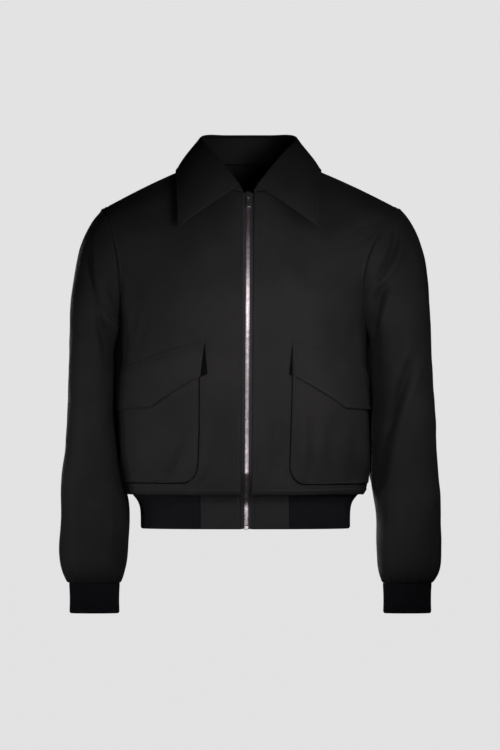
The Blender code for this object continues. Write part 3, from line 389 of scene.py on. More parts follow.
# %% [markdown]
# ## The jacket's form
# A pattern maker thinks in sections: how wide and how deep the jacket is at each height.  These
# are the same named sections as the solid's, so the cloth falls on the same form; only the foot
# is finer here, where the twill blouses over the hem rib.

# %% Sections of the body
ZIP_TOP_X, ZIP_FOOT_X = -0.2, -3.5
ZIP_TOP_Z, HEM_Z = -42.0, -578.0
ZIP_OPENING = 8.0
SIDE_SEAM_Y = 2.0
CLOTH = 1.8
NECK_POINT = (76.0, 6.0, 8.0)
NECK_COLUMN = 0.4
SHOULDER_ROUND = 3.0
LEVEL_WRAP = 90.0
LOW_FULLNESS, HIGH_FULLNESS = 0.82, 0.98

# z, front y, back y, half width to the wearer's right, half width to the left
WAIST_LEVELS = [
    (-578.0, -104.0, 99.0, 172.0, 162.0),
    (-549.0, -104.5, 99.5, 172.5, 162.5),
    (-533.0, -107.0, 102.0, 177.5, 167.0),
    (-518.0, -115.0, 110.0, 190.0, 180.0),
]
BODY_LEVELS = [
    (-518.0, -115.0, 110.0, 190.0, 180.0),
    (-522.5, -118.5, 113.0, 191.5, 181.5),
    (-522.0, -122.0, 116.5, 194.0, 184.0),
    (-516.5, -124.0, 118.5, 196.5, 186.5),
    (-507.0, -124.8, 119.2, 198.5, 188.3),
    (-490.0, -125.8, 120.2, 201.0, 190.0),
    (-455.0, -129.0, 122.0, 203.5, 191.0),
    (-400.0, -131.0, 121.0, 206.0, 190.0),
    (-345.0, -132.0, 122.0, 207.0, 188.0),
    (-298.0, -131.0, 124.0, 207.0, 187.0),
    (-256.0, -130.0, 125.0, 206.0, 188.0),
]
# height on the armhole, half widths, front y, back y, centre front z and y, centre back z and y, wrap
ARMHOLE_ROWS = [
    (-238.0, 205.0, 186.0, -28.0, 30.0, -232.0, -128.5, -230.0, 126.0, 84.0),
    (-215.0, 205.0, 184.5, -46.0, 50.0, -208.0, -126.5, -203.0, 126.5, 76.0),
    (-190.0, 206.0, 184.0, -56.0, 62.0, -184.0, -123.5, -176.0, 125.5, 69.0),
    (-165.0, 208.0, 186.5, -61.0, 68.0, -160.0, -119.5, -148.0, 123.0, 63.0),
    (-140.0, 211.5, 193.5, -61.0, 70.0, -136.0, -114.5, -120.0, 118.5, 59.0),
    (-118.0, 216.0, 204.0, -57.0, 67.0, -112.0, -109.0, -92.0, 112.0, 57.0),
    (-98.0, 221.0, 217.0, -47.0, 57.0, -89.0, -102.0, -63.0, 103.0, 56.0),
    (-80.0, 226.5, 229.0, -30.0, 38.0, -66.0, -94.0, -30.0, 86.0, 56.0),
    (-66.0, 231.0, 238.0, 4.0, 4.0, -42.0, -85.0, 4.0, 62.0, 56.0),
]
WAIST_ROW = len(WAIST_LEVELS) - 1
UNDERARM_ROW = len(BODY_LEVELS) - 1
TIP_ROW = UNDERARM_ROW + len(ARMHOLE_ROWS)


def knot_table(levels, armhole, side, face):
    """One row of numbers for each section: centre y and z, side point x, y, z, and wrap."""
    sign, front = SIDE_SIGN[side], face == "front"
    knots = []
    for z, front_y, back_y, right_x, left_x in levels:
        reach = right_x if side == "right" else left_x
        knots.append((front_y if front else back_y, z, sign * reach, SIDE_SEAM_Y, z, LEVEL_WRAP))
    for arm_z, right_x, left_x, front_y, back_y, front_z, mid_front_y, back_z, mid_back_y, wrap in armhole:
        reach = right_x if side == "right" else left_x
        centre = (mid_front_y, front_z) if front else (mid_back_y, back_z)
        knots.append((*centre, sign * reach, front_y if front else back_y, arm_z, wrap))
    return np.array(knots)


QUARTERS = [(side, face) for side in SIDE_SIGN for face in ("front", "back")]
BODY_KNOTS = {quarter: knot_table(BODY_LEVELS, ARMHOLE_ROWS, *quarter) for quarter in QUARTERS}
WAIST_KNOTS = {quarter: knot_table(WAIST_LEVELS, [], *quarter) for quarter in QUARTERS}
print("body sections:", len(BODY_KNOTS["right", "front"]))


# %% Surface of the body
def hermite(start, end, rise_in, rise_out, share):
    """A smooth curve between two values, with its slopes at both ends."""
    squared, cubed = share ** 2, share ** 3
    return (start * (2 * cubed - 3 * squared + 1) + rise_in * (cubed - 2 * squared + share)
            + end * (3 * squared - 2 * cubed) + rise_out * (cubed - squared))


def smooth_rows(knots, rows):
    """A smooth curve through the table's rows, read at fractional rows."""
    rows = np.asarray(rows, dtype=float)
    low = np.clip(np.floor(rows).astype(int), 0, len(knots) - 2)
    start, end = knots[low], knots[low + 1]
    rise_in = (end - knots[np.maximum(low - 1, 0)]) / 2.0
    rise_out = (knots[np.minimum(low + 2, len(knots) - 1)] - start) / 2.0
    return hermite(start, end, rise_in, rise_out, (rows - low)[..., None])


def zip_x(z):
    return np.interp(z, [HEM_Z, ZIP_TOP_Z], [ZIP_FOOT_X, ZIP_TOP_X])


def start_x(z, side, face):
    """Where a section starts: beside the zip in front, in the middle of the back."""
    return (zip_x(z) + SIDE_SIGN[side] * ZIP_OPENING) * (face == "front")


def section_point(column, centre_x, values, fullness):
    """Points on rounded sections, from the centre (column 0) to the side (column 1)."""
    centre_y, centre_z, side_x, side_y, side_z, wrap = np.moveaxis(values, -1, 0)
    turn = np.radians(wrap)
    across = np.maximum(np.sin(turn * column) / np.sin(turn), 0.0) ** fullness
    falling = (np.cos(turn * column) - np.cos(turn)) / (1.0 - np.cos(turn))
    forward = np.maximum(falling, 0.0) ** fullness
    return np.stack([centre_x + (side_x - centre_x) * across,
                     side_y + (centre_y - side_y) * forward,
                     centre_z + (side_z - centre_z) * across], axis=-1)


def top_edge(column, side, face):
    """Neck seam and then shoulder seam: the upper edge of a front or of half the back."""
    column = np.asarray(column, dtype=float)
    centre_y, centre_z, tip_x, tip_y, tip_z, _ = BODY_KNOTS[side, face][-1]
    neck = np.array([SIDE_SIGN[side] * NECK_POINT[0], NECK_POINT[1], NECK_POINT[2]])
    turn = math.radians(90.0) * np.clip(column / NECK_COLUMN, 0.0, 1.0)
    first_x = start_x(ZIP_TOP_Z, side, face)
    neck_part = np.stack([first_x + (neck[0] - first_x) * np.sin(turn),
                          neck[1] + (centre_y - neck[1]) * np.cos(turn),
                          neck[2] + (centre_z - neck[2]) * np.maximum(np.cos(turn), 0.0) ** 1.4], axis=-1)
    share = np.clip((column - NECK_COLUMN) / (1.0 - NECK_COLUMN), 0.0, 1.0)[..., None]
    shoulder = neck + (np.array([tip_x, tip_y, tip_z]) - neck) * share
    shoulder = shoulder + SHOULDER_ROUND * np.sin(math.pi * share) * np.array([0.0, 0.0, 1.0])
    return np.where((column <= NECK_COLUMN)[..., None], neck_part, shoulder)


def body_surface(column, row, side, face):
    """Points on the outside of the body at arrays of columns and fractional rows."""
    column, row = np.broadcast_arrays(np.asarray(column, float), np.asarray(row, float))
    knots = BODY_KNOTS[side, face]
    values = smooth_rows(knots, row)
    rise = np.clip((row - UNDERARM_ROW) / (TIP_ROW - UNDERARM_ROW), 0.0, 1.0)
    fullness = LOW_FULLNESS + (HIGH_FULLNESS - LOW_FULLNESS) * np.minimum(1.0, 2.0 * rise)
    points = section_point(column, start_x(values[..., 1], side, face), values, fullness)
    last = np.broadcast_to(knots[-1], values.shape)
    plain = section_point(column, start_x(last[..., 1], side, face), last, HIGH_FULLNESS)
    return points + (top_edge(column, side, face) - plain) * (rise ** 2.2)[..., None]


def waist_surface(column, row, side, face):
    """Points on the hem band, which lies under the blousing cloth."""
    column, row = np.broadcast_arrays(np.asarray(column, float), np.asarray(row, float))
    values = smooth_rows(WAIST_KNOTS[side, face], row)
    return section_point(column, start_x(values[..., 1], side, face), values, LOW_FULLNESS)


def unit(vectors):
    return vectors / np.maximum(np.linalg.norm(vectors, axis=-1, keepdims=True), 1e-9)


def surface_normals(surface, column, row, side, face):
    """Unit normals that point away from the inside of the jacket."""
    step = 0.004
    last_row = TIP_ROW if surface is body_surface else WAIST_ROW
    along = (surface(np.minimum(column + step, 1.0), row, side, face)
             - surface(np.maximum(column - step, 0.0), row, side, face))
    upward = (surface(column, np.minimum(row + step, last_row), side, face)
              - surface(column, np.maximum(row - step, 0.0), side, face))
    facing = SIDE_SIGN[side] * (1.0 if face == "front" else -1.0)
    return unit(np.cross(along, upward)) * facing


print("middle of the right front:", body_surface([0.5], [8.0], "right", "front").round(1))

# %% [markdown]
# ## From a grid to a piece of cloth
# Each piece is a grid of points with a normal at every point.  A wall needs an outer and an inner
# side and a rim all round, and a cloth map in metres, measured along the grid like a tape laid on
# the cloth.  Near a seam the outer side dips, because the cloth is pressed and pulled under there.


# %% Grid helpers
def smooth_step(value):
    value = np.clip(value, 0.0, 1.0)
    return value * value * (3.0 - 2.0 * value)


def places_with_fine_ends(count, length, ends=(0.6, 1.4, 2.4, 3.8, 5.6)):
    """Shares from 0 to 1 that lie closer together near both ends; the ends are in millimetres."""
    near = np.concatenate([[0.0], np.array(ends) / length])
    middle = np.linspace(ends[-1] / length, 1.0 - ends[-1] / length, count)[1:-1]
    return np.concatenate([near, middle, 1.0 - near[::-1]])


def moved(points, normals, distance):
    """Points moved along their normals by distances in millimetres."""
    return points + normals * np.asarray(distance)[..., None]


def run_lengths(grid, axis):
    """Distance along the grid from its first row or column, for every point."""
    steps = np.linalg.norm(np.diff(grid, axis=axis), axis=-1)
    first = np.zeros_like(steps[:1] if axis == 0 else steps[:, :1])
    return np.concatenate([first, np.cumsum(steps, axis=axis)], axis=axis)


def line_run(line):
    return run_lengths(line[None], 1)[0]


def read_line(run, values, distance):
    """Values along a line, read at one or many distances."""
    return np.stack([np.interp(distance, run, values[:, axis]) for axis in range(3)], axis=-1)


def edge_distances(grid):
    """Distance of every point from each edge, from both side edges and from all but the top."""
    along, upward = run_lengths(grid, 1), run_lengths(grid, 0)
    away = {"start": along, "end": along[:, -1:] - along, "foot": upward, "top": upward[-1:] - upward}
    away["sides"] = np.minimum(away["start"], away["end"])
    away["free"] = np.minimum(away["foot"], away["sides"])
    return away


def uneven(grid, size, height, seed):
    """A soft random unevenness in millimetres, the same on every run."""
    flat = grid.reshape(-1, 3) / size + seed * 17.3
    values = [noise.noise(Vector(point)) for point in flat]
    return np.array(values).reshape(grid.shape[:-1]) * height


def grid_normals(grid, loop):
    along = np.roll(grid, -1, axis=1) - np.roll(grid, 1, axis=1) if loop else np.gradient(grid, axis=1)
    return unit(np.cross(along, np.gradient(grid, axis=0)))


def ring_normals(grid, middle):
    """Normals of a tube, which point away from its middle."""
    normals = grid_normals(grid, True)
    return normals * np.sign(np.sum(normals * (grid - middle), axis=-1).mean())


def finish_piece(name, mesh, finish, body, nodes, sharp_angle):
    """Turns the faces outwards, shades them and gives the piece its finish and body."""
    work = bmesh.new()
    work.from_mesh(mesh)
    bmesh.ops.recalc_face_normals(work, faces=work.faces)
    work.to_mesh(mesh)
    work.free()
    mesh.shade_smooth()
    mesh.set_sharp_from_angle(angle=math.radians(sharp_angle))
    mesh.materials.append(finish)
    piece = add_object(name, mesh)
    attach(piece, body)
    if nodes:
        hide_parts(*nodes)


# %% Wall of cloth
WALL_SHARP_ANGLE = 60.0


def make_wall(name, outer, inner, nodes=(), finish=twill, loop=False):
    """A closed wall between two grids [row, column], with a cloth map in metres."""
    rows, columns = outer.shape[:2]
    spans = columns if loop else columns - 1
    row, column = np.meshgrid(np.arange(rows - 1), np.arange(spans), indexing="ij")
    closed = np.concatenate([outer, outer[:, :1]], axis=1) if loop else outer
    along, upward = run_lengths(closed, 1), run_lengths(closed, 0)
    corner_rows = np.stack([row, row, row + 1, row + 1], axis=-1).reshape(-1, 4)
    corner_columns = np.stack([column, column + 1, column + 1, column], axis=-1).reshape(-1, 4)
    faces = corner_rows * columns + corner_columns % columns
    shift = rows * columns
    all_faces = [faces, faces[:, ::-1] + shift]
    all_rows = [corner_rows, corner_rows[:, ::-1]]
    all_columns = [corner_columns, corner_columns[:, ::-1]]
    span, step = np.arange(spans), np.arange(rows - 1)
    rims = [(0 * span, 0 * span, span, span + 1, 1),
            (0 * span + rows - 1, 0 * span + rows - 1, span, span + 1, -1)]
    if not loop:
        rims += [(step, step + 1, 0 * step, 0 * step, -1),
                 (step, step + 1, 0 * step + columns - 1, 0 * step + columns - 1, 1)]
    for first_row, second_row, first_column, second_column, turn in rims:
        first = first_row * columns + first_column % columns
        second = second_row * columns + second_column % columns
        for found, corners in ((all_faces, [first, first + shift, second + shift, second]),
                               (all_rows, [first_row, first_row, second_row, second_row]),
                               (all_columns, [first_column, first_column, second_column, second_column])):
            found.append(np.stack(corners, axis=-1)[:, ::turn])
    face_list = np.concatenate(all_faces)
    at_row, at_column = np.concatenate(all_rows).ravel(), np.concatenate(all_columns).ravel()
    mesh = bpy.data.meshes.new(name)
    points = np.concatenate([outer.reshape(-1, 3), inner.reshape(-1, 3)]) * MILLIMETRE
    mesh.from_pydata(points.tolist(), [], face_list.tolist())
    cloth = mesh.uv_layers.new(name="cloth")
    coordinates = np.stack([along[at_row, at_column], upward[at_row, at_column]], axis=-1) * MILLIMETRE
    cloth.uv.foreach_set("vector", coordinates.astype(np.float32).ravel())
    finish_piece(name, mesh, finish, "jacket", nodes, WALL_SHARP_ANGLE)
    print("%s: %d faces, about %.0f x %.0f mm, %.4f m2 of cloth"
          % (name, len(face_list), along[rows // 2, -1], upward[-1, columns // 2],
             sum(face.area for face in mesh.polygons) / 2.0))


# %% [markdown]
# ## Folds and seams in the cloth
# A fold is a soft trough with a lip on one side.  Each one is a bent line through three points
# with its own width and depth, placed where the jacket shows it.  Along a topstitched edge
# the cloth stands up between edge and stitches, and the stitches draw a fine furrow.

# %% Fold and stitch furrow shapes
STITCH_INSET = 6.0
FURROW_WIDTH = 0.9
FURROW_DEPTH = 0.45
EDGE_PUFF = 0.55
FOLD_POINTS = 40
LIP_PLACE, LIP_WIDTH = 1.7, 1.1     # in widths of the fold


def bent_line(points):
    """Points on a bent line through a start, a middle and an end point."""
    start, middle, end = np.reshape(points, (3, 2))
    bend = 2.0 * middle - (start + end) / 2.0
    share = np.linspace(0.0, 1.0, FOLD_POINTS)[:, None]
    return start * (1 - share) ** 2 + 2 * bend * share * (1 - share) + end * share ** 2


def fold_relief(flat, folds):
    """Sum of folds at flat coordinates; a fold is three points in six numbers, width, depth, lip."""
    total = np.zeros(flat.shape[:-1])
    for *points, width, depth, lip in folds:
        line = bent_line(points)
        ahead = unit(np.gradient(line, axis=0))
        low = line.min(axis=0) - 4.0 * width
        high = line.max(axis=0) + 4.0 * width
        near = np.all((flat > low) & (flat < high), axis=-1)
        apart = flat[near][:, None, :] - line[None]
        distance = np.linalg.norm(apart, axis=-1)
        nearest = distance.argmin(axis=1)
        chosen, tangent = apart[np.arange(len(nearest)), nearest], ahead[nearest]
        side = chosen[:, 0] * tangent[:, 1] - chosen[:, 1] * tangent[:, 0]
        away = distance.min(axis=1)
        share = nearest / (len(line) - 1.0)
        fade = np.sin(math.pi * np.clip(share, 0.02, 0.98)) ** 0.6
        trough = -depth * np.exp(-(away / width) ** 2)
        ridge = lip * np.exp(-((side - LIP_PLACE * width) / (LIP_WIDTH * width)) ** 2) * np.exp(
            -np.maximum(away - np.abs(side), 0.0) ** 2 / width ** 2)
        total[near] += fade * (trough + ridge)
    return total


def furrow(distance):
    """The furrow of a line of stitches, at a distance from the edge."""
    return FURROW_DEPTH * np.exp(-((distance - STITCH_INSET) / FURROW_WIDTH) ** 2)


def topstitched(distance):
    """Relief of a topstitched edge at a distance from it."""
    return EDGE_PUFF * np.sin(math.pi * np.clip(distance / STITCH_INSET, 0.0, 1.0)) - furrow(distance)


def pressed(distance, depth, width):
    """How far the outer side dips at a free edge."""
    return depth * np.exp(-(distance / width) ** 2)


def off_seam(distance, height=0.8, width=1.5):
    """How far cloth stands up beside a seam, which itself stays low and shared."""
    return height - pressed(distance, height, width)


# %% [markdown]
# ## Fronts and back
# The fronts hang from the shoulder and armhole and blouse a little over the waist.  The folds
# that show are a hollow below each shoulder, drag lines towards the armhole, soft valleys beside
# the zip, and short puckers where the twill is eased onto the hem rib.  The back hangs alike.

# %% Fold tables of fronts and back
# x, z of three points, width, depth, lip
FRONT_FOLDS = {
    "right": [
        (-138, -52, -130, -95, -118, -150, 24, 3, 0.6),
        (-197, -300, -186, -262, -178, -226, 7, 3, 1.6),
        (-186, -306, -172, -270, -158, -238, 8, 2.2, 1.2),
        (-200, -150, -178, -190, -140, -225, 13, 1.5, 0.8),
        (-46, -395, -46, -440, -56, -500, 9, 4.2, 1.8),
        (-20, -350, -24, -420, -20, -480, 12, 1.2, 0.4),
        (-58, -470, -70, -500, -92, -513, 6, 1.8, 0.9),
    ],
    "left": [
        (128, -136, 186, -106, 238, -76, 14, 5, 1),
        (120, -190, 168, -162, 206, -136, 15, 2.8, 1.8),
        (138, -50, 130, -80, 112, -112, 20, 1.8, 0.4),
        (188, -215, 172, -262, 160, -306, 9, 1.4, 0.8),
        (42, -380, 48, -440, 40, -502, 11, 3.2, 1.4),
        (20, -420, 24, -460, 22, -505, 8, 1, 0.4),
        (60, -478, 72, -502, 96, -514, 6, 1.6, 0.9),
    ],
}
BACK_FOLDS = [
    (-205, -120, -160, -170, -110, -190, 14, 3.2, 1.6),
    (205, -128, 165, -172, 120, -200, 14, 2.8, 1.6),
    (-198, -200, -160, -262, -138, -330, 13, 2.2, 1),
    (190, -205, 158, -270, 142, -340, 13, 2, 1),
    (-70, -360, -76, -440, -66, -512, 13, 2.4, 1),
    (28, -380, 20, -450, 30, -514, 12, 2.2, 0.9),
    (112, -370, 120, -440, 108, -512, 13, 2.2, 1),
    (-150, -420, -156, -470, -146, -512, 10, 1.8, 0.8),
    (-40, -50, 0, -62, 42, -48, 14, 1.4, 0.6),
]
# short puckers above the waist seam: x, length, width, depth
WAIST_PUCKERS = {
    "right": [(-30, 30, 6, 0.8), (-62, 26, 5, 1.0), (-98, 34, 6, 1.3), (-122, 22, 5, 1.0),
              (-148, 36, 6, 1.4), (-170, 24, 5, 1.2), (-188, 30, 5, 1.2)],
    "left": [(28, 24, 6, 0.8), (58, 30, 5, 1.0), (90, 28, 6, 1.2), (116, 34, 6, 1.2),
             (140, 24, 5, 1.1), (160, 34, 6, 1.3), (178, 26, 5, 1.1)],
}
PUCKER_FOOT_Z, PUCKER_LIP = -524.0, 0.6


def pucker_folds(side):
    """Puckers as folds that rise from the waist seam."""
    return [(x, PUCKER_FOOT_Z, x * 1.004, PUCKER_FOOT_Z + length / 2.0,
             x * 0.995, PUCKER_FOOT_Z + 2.0 + length, width, depth, depth * PUCKER_LIP)
            for x, length, width, depth in WAIST_PUCKERS[side]]


# %% Relief that fronts and back share
FRONT_WIDTH = 270.0
FRONT_COLUMNS = places_with_fine_ends(78, FRONT_WIDTH)
BODY_ROWS = places_with_fine_ends(140, 620.0) * TIP_ROW
CALM_EDGE = 16.0          # folds fade out over this distance from a seam
FOOT_TURN = 12.0          # the waist seam's stitches lie this much further in
EASING_ROUNDS = 70
EASING_EDGE, EASING_RUN = 6.0, 30.0
CHEST_FOOT_Z, CHEST_RUN = -250.0, 40.0


def chest_easing(grid):
    """Forward shift that rounds the chest where the shoulder and neck parts meet."""
    eased = grid[..., 1].copy()
    for _ in range(EASING_ROUNDS):
        eased[:, 1:-1] = (eased[:, :-2] + 2.0 * eased[:, 1:-1] + eased[:, 2:]) / 4.0
    away = edge_distances(grid)
    inner = smooth_step((away["sides"] - EASING_EDGE) / EASING_RUN) * smooth_step(away["top"] / EASING_RUN)
    return (eased - grid[..., 1]) * inner * smooth_step((grid[..., 2] - CHEST_FOOT_Z) / CHEST_RUN)


def seam_relief(away, row):
    """Stitching along armhole and waist, and cloth that rises beside the seams."""
    at_armhole = smooth_step((row - UNDERARM_ROW) * 2.0)
    foot = away["foot"] - FOOT_TURN
    return (topstitched(away["sides"]) * at_armhole + topstitched(foot) * (foot > 0.0)
            + off_seam(np.minimum(away["sides"], away["top"])))


def front_relief(points, side, calm):
    """Folds and soft unevenness of a front; what lies on the front follows them too."""
    folds = fold_relief(points[..., [0, 2]], FRONT_FOLDS[side] + pucker_folds(side))
    return (folds + uneven(points, 95.0, 2.0, 1) + uneven(points, 34.0, 0.6, 2)) * calm


# %% Make the fronts
front_shapes = {}
for side in SIDE_SIGN:
    column, row = np.meshgrid(FRONT_COLUMNS, BODY_ROWS)
    base = body_surface(column, row, side, "front")
    base[..., 1] += chest_easing(base)
    normals = surface_normals(body_surface, column, row, side, "front")
    away = edge_distances(base)
    lift = front_relief(base, side, smooth_step(np.minimum(away["sides"], away["top"]) / CALM_EDGE))
    lift += topstitched(away["start"])
    lift += seam_relief({**away, "sides": away["end"]}, row)
    outside = moved(base, normals, lift)
    front_shapes[side] = (outside, normals)
    make_wall("front_%s_cloth" % side, moved(outside, normals, -pressed(away["start"], 1.5, 0.8)),
              base - normals * CLOTH, ["front_" + side])

# %% Make the back
back_columns = np.concatenate([-FRONT_COLUMNS[:0:-1], FRONT_COLUMNS])
column, row = np.meshgrid(np.abs(back_columns), BODY_ROWS)
middle = len(FRONT_COLUMNS) - 1
halves = [(column[part], row[part], side, "back")
          for side, part in (("right", np.s_[:, :middle]), ("left", np.s_[:, middle:]))]
back_base = np.concatenate([body_surface(*half) for half in halves], axis=1)
back_base[..., 1] += chest_easing(back_base)
back_normals = np.concatenate([surface_normals(body_surface, *half) for half in halves], axis=1)
away = edge_distances(back_base)
calm = smooth_step(np.minimum(away["sides"], away["top"]) / CALM_EDGE)
lift = fold_relief(back_base[..., [0, 2]], BACK_FOLDS + pucker_folds("right") + pucker_folds("left"))
lift = (lift + uneven(back_base, 95.0, 2.2, 3) + uneven(back_base, 34.0, 0.6, 4)) * calm
back_outside = moved(back_base, back_normals, lift + seam_relief(away, row))
make_wall("back_cloth", back_outside, back_base - back_normals * CLOTH, ["back"])

# %% [markdown]
# ## Sleeves
# A sleeve starts at the armhole seam, springs out over the sleeve head and then hangs almost
# straight, a little forward at the wrist.  It blouses over the cuff, where its fullness is drawn
# in.  Folds at the sides and rear are given as an angle and a height, and those in front by x and
# z, as they are seen.  Towards the body the sleeve's flank falls back into the dark.

# %% Sleeve sections and folds
# z, outer x, inner x, front y, back y
SLEEVE_SECTIONS = {
    "right": [
        (-300.0, 286.0, 215.5, -70.0, 80.0), (-345.0, 287.5, 215.5, -71.0, 76.0),
        (-400.0, 289.5, 214.5, -70.0, 70.0), (-450.0, 293.0, 209.5, -67.0, 62.0),
        (-495.0, 297.0, 204.5, -66.0, 52.0), (-522.0, 298.5, 195.5, -67.0, 46.0),
        (-555.0, 300.0, 191.0, -69.0, 38.0), (-600.0, 302.0, 192.0, -71.0, 29.0),
        (-630.0, 300.5, 194.5, -70.0, 25.0), (-646.0, 297.0, 198.5, -67.0, 20.0),
        (-657.0, 292.0, 202.5, -62.0, 14.0), (-665.0, 286.0, 206.0, -56.0, 8.0),
    ],
    "left": [
        (-300.0, 291.0, 197.5, -68.0, 78.0), (-345.0, 295.0, 198.5, -70.0, 75.0),
        (-400.0, 299.5, 199.0, -70.0, 69.0), (-450.0, 301.5, 199.0, -67.0, 61.0),
        (-495.0, 303.0, 198.0, -66.0, 52.0), (-522.0, 304.5, 201.0, -67.0, 46.0),
        (-555.0, 305.5, 204.5, -69.0, 38.0), (-600.0, 306.5, 206.0, -71.0, 29.0),
        (-630.0, 306.0, 207.0, -70.0, 25.0), (-646.0, 303.5, 209.5, -67.0, 20.0),
        (-657.0, 298.5, 212.5, -62.0, 14.0), (-665.0, 292.0, 215.0, -56.0, 8.0),
    ],
}
SLEEVE_FULLNESS = 0.88
SLEEVE_RADIUS = 58.0      # turns an angle into a length round the sleeve
# angle, z of three points, width, depth, lip; angles run from the outer line over the front
SLEEVE_FOLDS = {
    "right": [
        (84, -515, 112, -535, 140, -552, 7, 1.6, 0.8),
        (70, -595, 104, -612, 140, -640, 8, 1.8, 1),
        (292, -330, 262, -425, 222, -520, 16, 6, 2),
        (330, -130, 290, -215, 240, -285, 11, 4.5, 1.8),
        (300, -540, 270, -590, 235, -640, 10, 3, 1.2),
    ],
    "left": [
        (50, -560, 40, -600, 54, -645, 10, 2, 0.8),
        (296, -300, 262, -400, 226, -500, 16, 7, 2.2),
        (334, -128, 296, -208, 246, -280, 11, 4.5, 1.8),
        (304, -535, 272, -590, 238, -642, 10, 3, 1.2),
    ],
}
# x, z of three points of the folds on the front of a sleeve, width, depth, lip
SLEEVE_FRONT_FOLDS = {
    "right": [
        (-216, -332, -228, -272, -243, -214, 8, 11, 2),
        (-240, -228, -252, -172, -254, -122, 5.5, 8, 2.6),
        (-204, -232, -216, -205, -222, -172, 6, 4, 1),
        (-236, -222, -222, -236, -206, -252, 5, 4.5, 3.5),
        (-216, -576, -232, -560, -246, -550, 6, 2.8, 1.2),
        (-262, -470, -258, -560, -250, -640, 15, 2.6, 0.8),
    ],
    "left": [
        (196, -188, 226, -146, 237, -98, 6, 10, 3.5),
        (196, -292, 200, -232, 221, -184, 10, 16, 4),
        (214, -430, 240, -366, 262, -304, 9, 15, 3),
        (232, -318, 236, -288, 246, -262, 12, 3, 1.5),
        (262, -520, 256, -580, 262, -640, 13, 2.2, 0.8),
    ],
}
# where a sleeve turns away towards the body: x at each z, run and depth
SLEEVE_FLANKS = {
    "right": ([-226.0, -224.0, -220.0, -219.0, -222.0],
              [-300.0, -420.0, -500.0, -580.0, -652.0], 22.0, 9.0),
    "left": ([262.0, 250.0, 239.0, 230.0, 222.0, 219.0, 224.0],
             [-325.0, -385.0, -430.0, -480.0, -540.0, -600.0, -652.0], 24.0, 15.0),
}
SLEEVE_TUCK = {"right": 20.0, "left": 22.0}    # how far the rear reaches in behind the body
CUFF_GATHERS = {"right": (17.0, 0.4), "left": (19.0, 1.9)}   # gathers round the cuff seam, start angle


def ring_point(side, angle, values):
    """Points on level sleeve sections; values end in z, outer x, inner x, front y, back y."""
    z, out_x, in_x, front_y, back_y = np.moveaxis(np.asarray(values), -1, 0)
    cosine, sine = np.cos(angle), np.sin(angle)
    across = np.sign(cosine) * np.abs(cosine) ** SLEEVE_FULLNESS
    forward = np.sign(sine) * np.abs(sine) ** SLEEVE_FULLNESS
    x = (out_x + in_x) / 2.0 + (out_x - in_x) / 2.0 * across
    y = (front_y + back_y) / 2.0 - (back_y - front_y) / 2.0 * forward
    level = smooth_step((z + 540.0) / 60.0)
    x = x - SLEEVE_TUCK[side] * level * smooth_step((y - 2.0) / 42.0) * ((1.0 - cosine) / 2.0) ** 2
    return np.stack([SIDE_SIGN[side] * x, y, z + np.zeros_like(x)], axis=-1)


def armhole_points(side, angles):
    """Armhole seam at angles from the shoulder tip (0) down the front (180) and up the back."""
    rows = np.linspace(TIP_ROW, UNDERARM_ROW, 240)
    ends = []
    for face, share in (("front", angles / np.pi), ("back", 2.0 - angles / np.pi)):
        line = body_surface(np.ones_like(rows), rows, side, face)
        run = line_run(line)
        ends.append(read_line(run, line, np.clip(share, 0.0, 1.0) * run[-1]))
    return np.where((angles <= np.pi)[:, None], ends[0], ends[1])


def flank_drop(grid, side):
    """How far the inner side of a sleeve falls back beyond the line where it turns away."""
    places, heights, run, depth = SLEEVE_FLANKS[side]
    inward = (np.interp(grid[..., 2], heights[::-1], places[::-1]) - grid[..., 0]) * SIDE_SIGN[side]
    fade = (smooth_step((heights[0] - grid[..., 2]) / 90.0)
            * smooth_step((grid[..., 2] - heights[-1]) / 14.0))
    return depth * smooth_step(inward / run) * fade


# %% Make the sleeves
SLEEVE_AROUND, SLEEVE_DOWN = 150, 100
SLEEVE_ANGLES = np.linspace(0.0, 2.0 * np.pi, SLEEVE_AROUND, endpoint=False)
HEAD_STEPS = np.concatenate([[0.0, 0.004, 0.009, 0.016, 0.026], np.linspace(0.045, 1.0, 50)[:-1]])
HEAD_OUT, HEAD_REACH, HEAD_FORWARD = 1.5, 45.0, -12.0     # how the head springs from the seam
HEAD_FALL, HEAD_START_SHARE, HEAD_END_SHARE = 34.0, 0.32, 0.42
GATHER_HEIGHT, GATHER_FADE = 0.9, 14.0


def sleeve_form(side):
    """Grid [ring, point round it] of a sleeve without folds: its head and then its tube."""
    seam = armhole_points(side, SLEEVE_ANGLES)
    sections = np.array(SLEEVE_SECTIONS[side])
    first = ring_point(side, SLEEVE_ANGLES, np.broadcast_to(sections[0], (SLEEVE_AROUND, 5)))
    drop = seam[:, 2] - first[:, 2]
    top_share = np.cos(SLEEVE_ANGLES / 2.0) ** 2
    spring = np.stack([SIDE_SIGN[side] * (HEAD_OUT + HEAD_REACH * top_share),
                       HEAD_FORWARD * np.sin(SLEEVE_ANGLES),
                       -(HEAD_FALL * top_share + HEAD_START_SHARE * drop * (1.0 - top_share))], axis=-1)
    arrive = first + np.stack([0.0 * drop, 0.0 * drop, HEAD_END_SHARE * drop], axis=-1)
    far = HEAD_STEPS[:, None, None]
    near = 1.0 - far
    head = (near ** 3 * seam + 3 * near ** 2 * far * (seam + spring) + 3 * near * far ** 2 * arrive
            + far ** 3 * first)
    values = smooth_rows(sections, places_with_fine_ends(SLEEVE_DOWN, 365.0)[5:] * (len(sections) - 1))
    tube = ring_point(side, SLEEVE_ANGLES[None], values[:, None, :] + np.zeros((1, SLEEVE_AROUND, 1)))
    return np.concatenate([head, tube], axis=0)


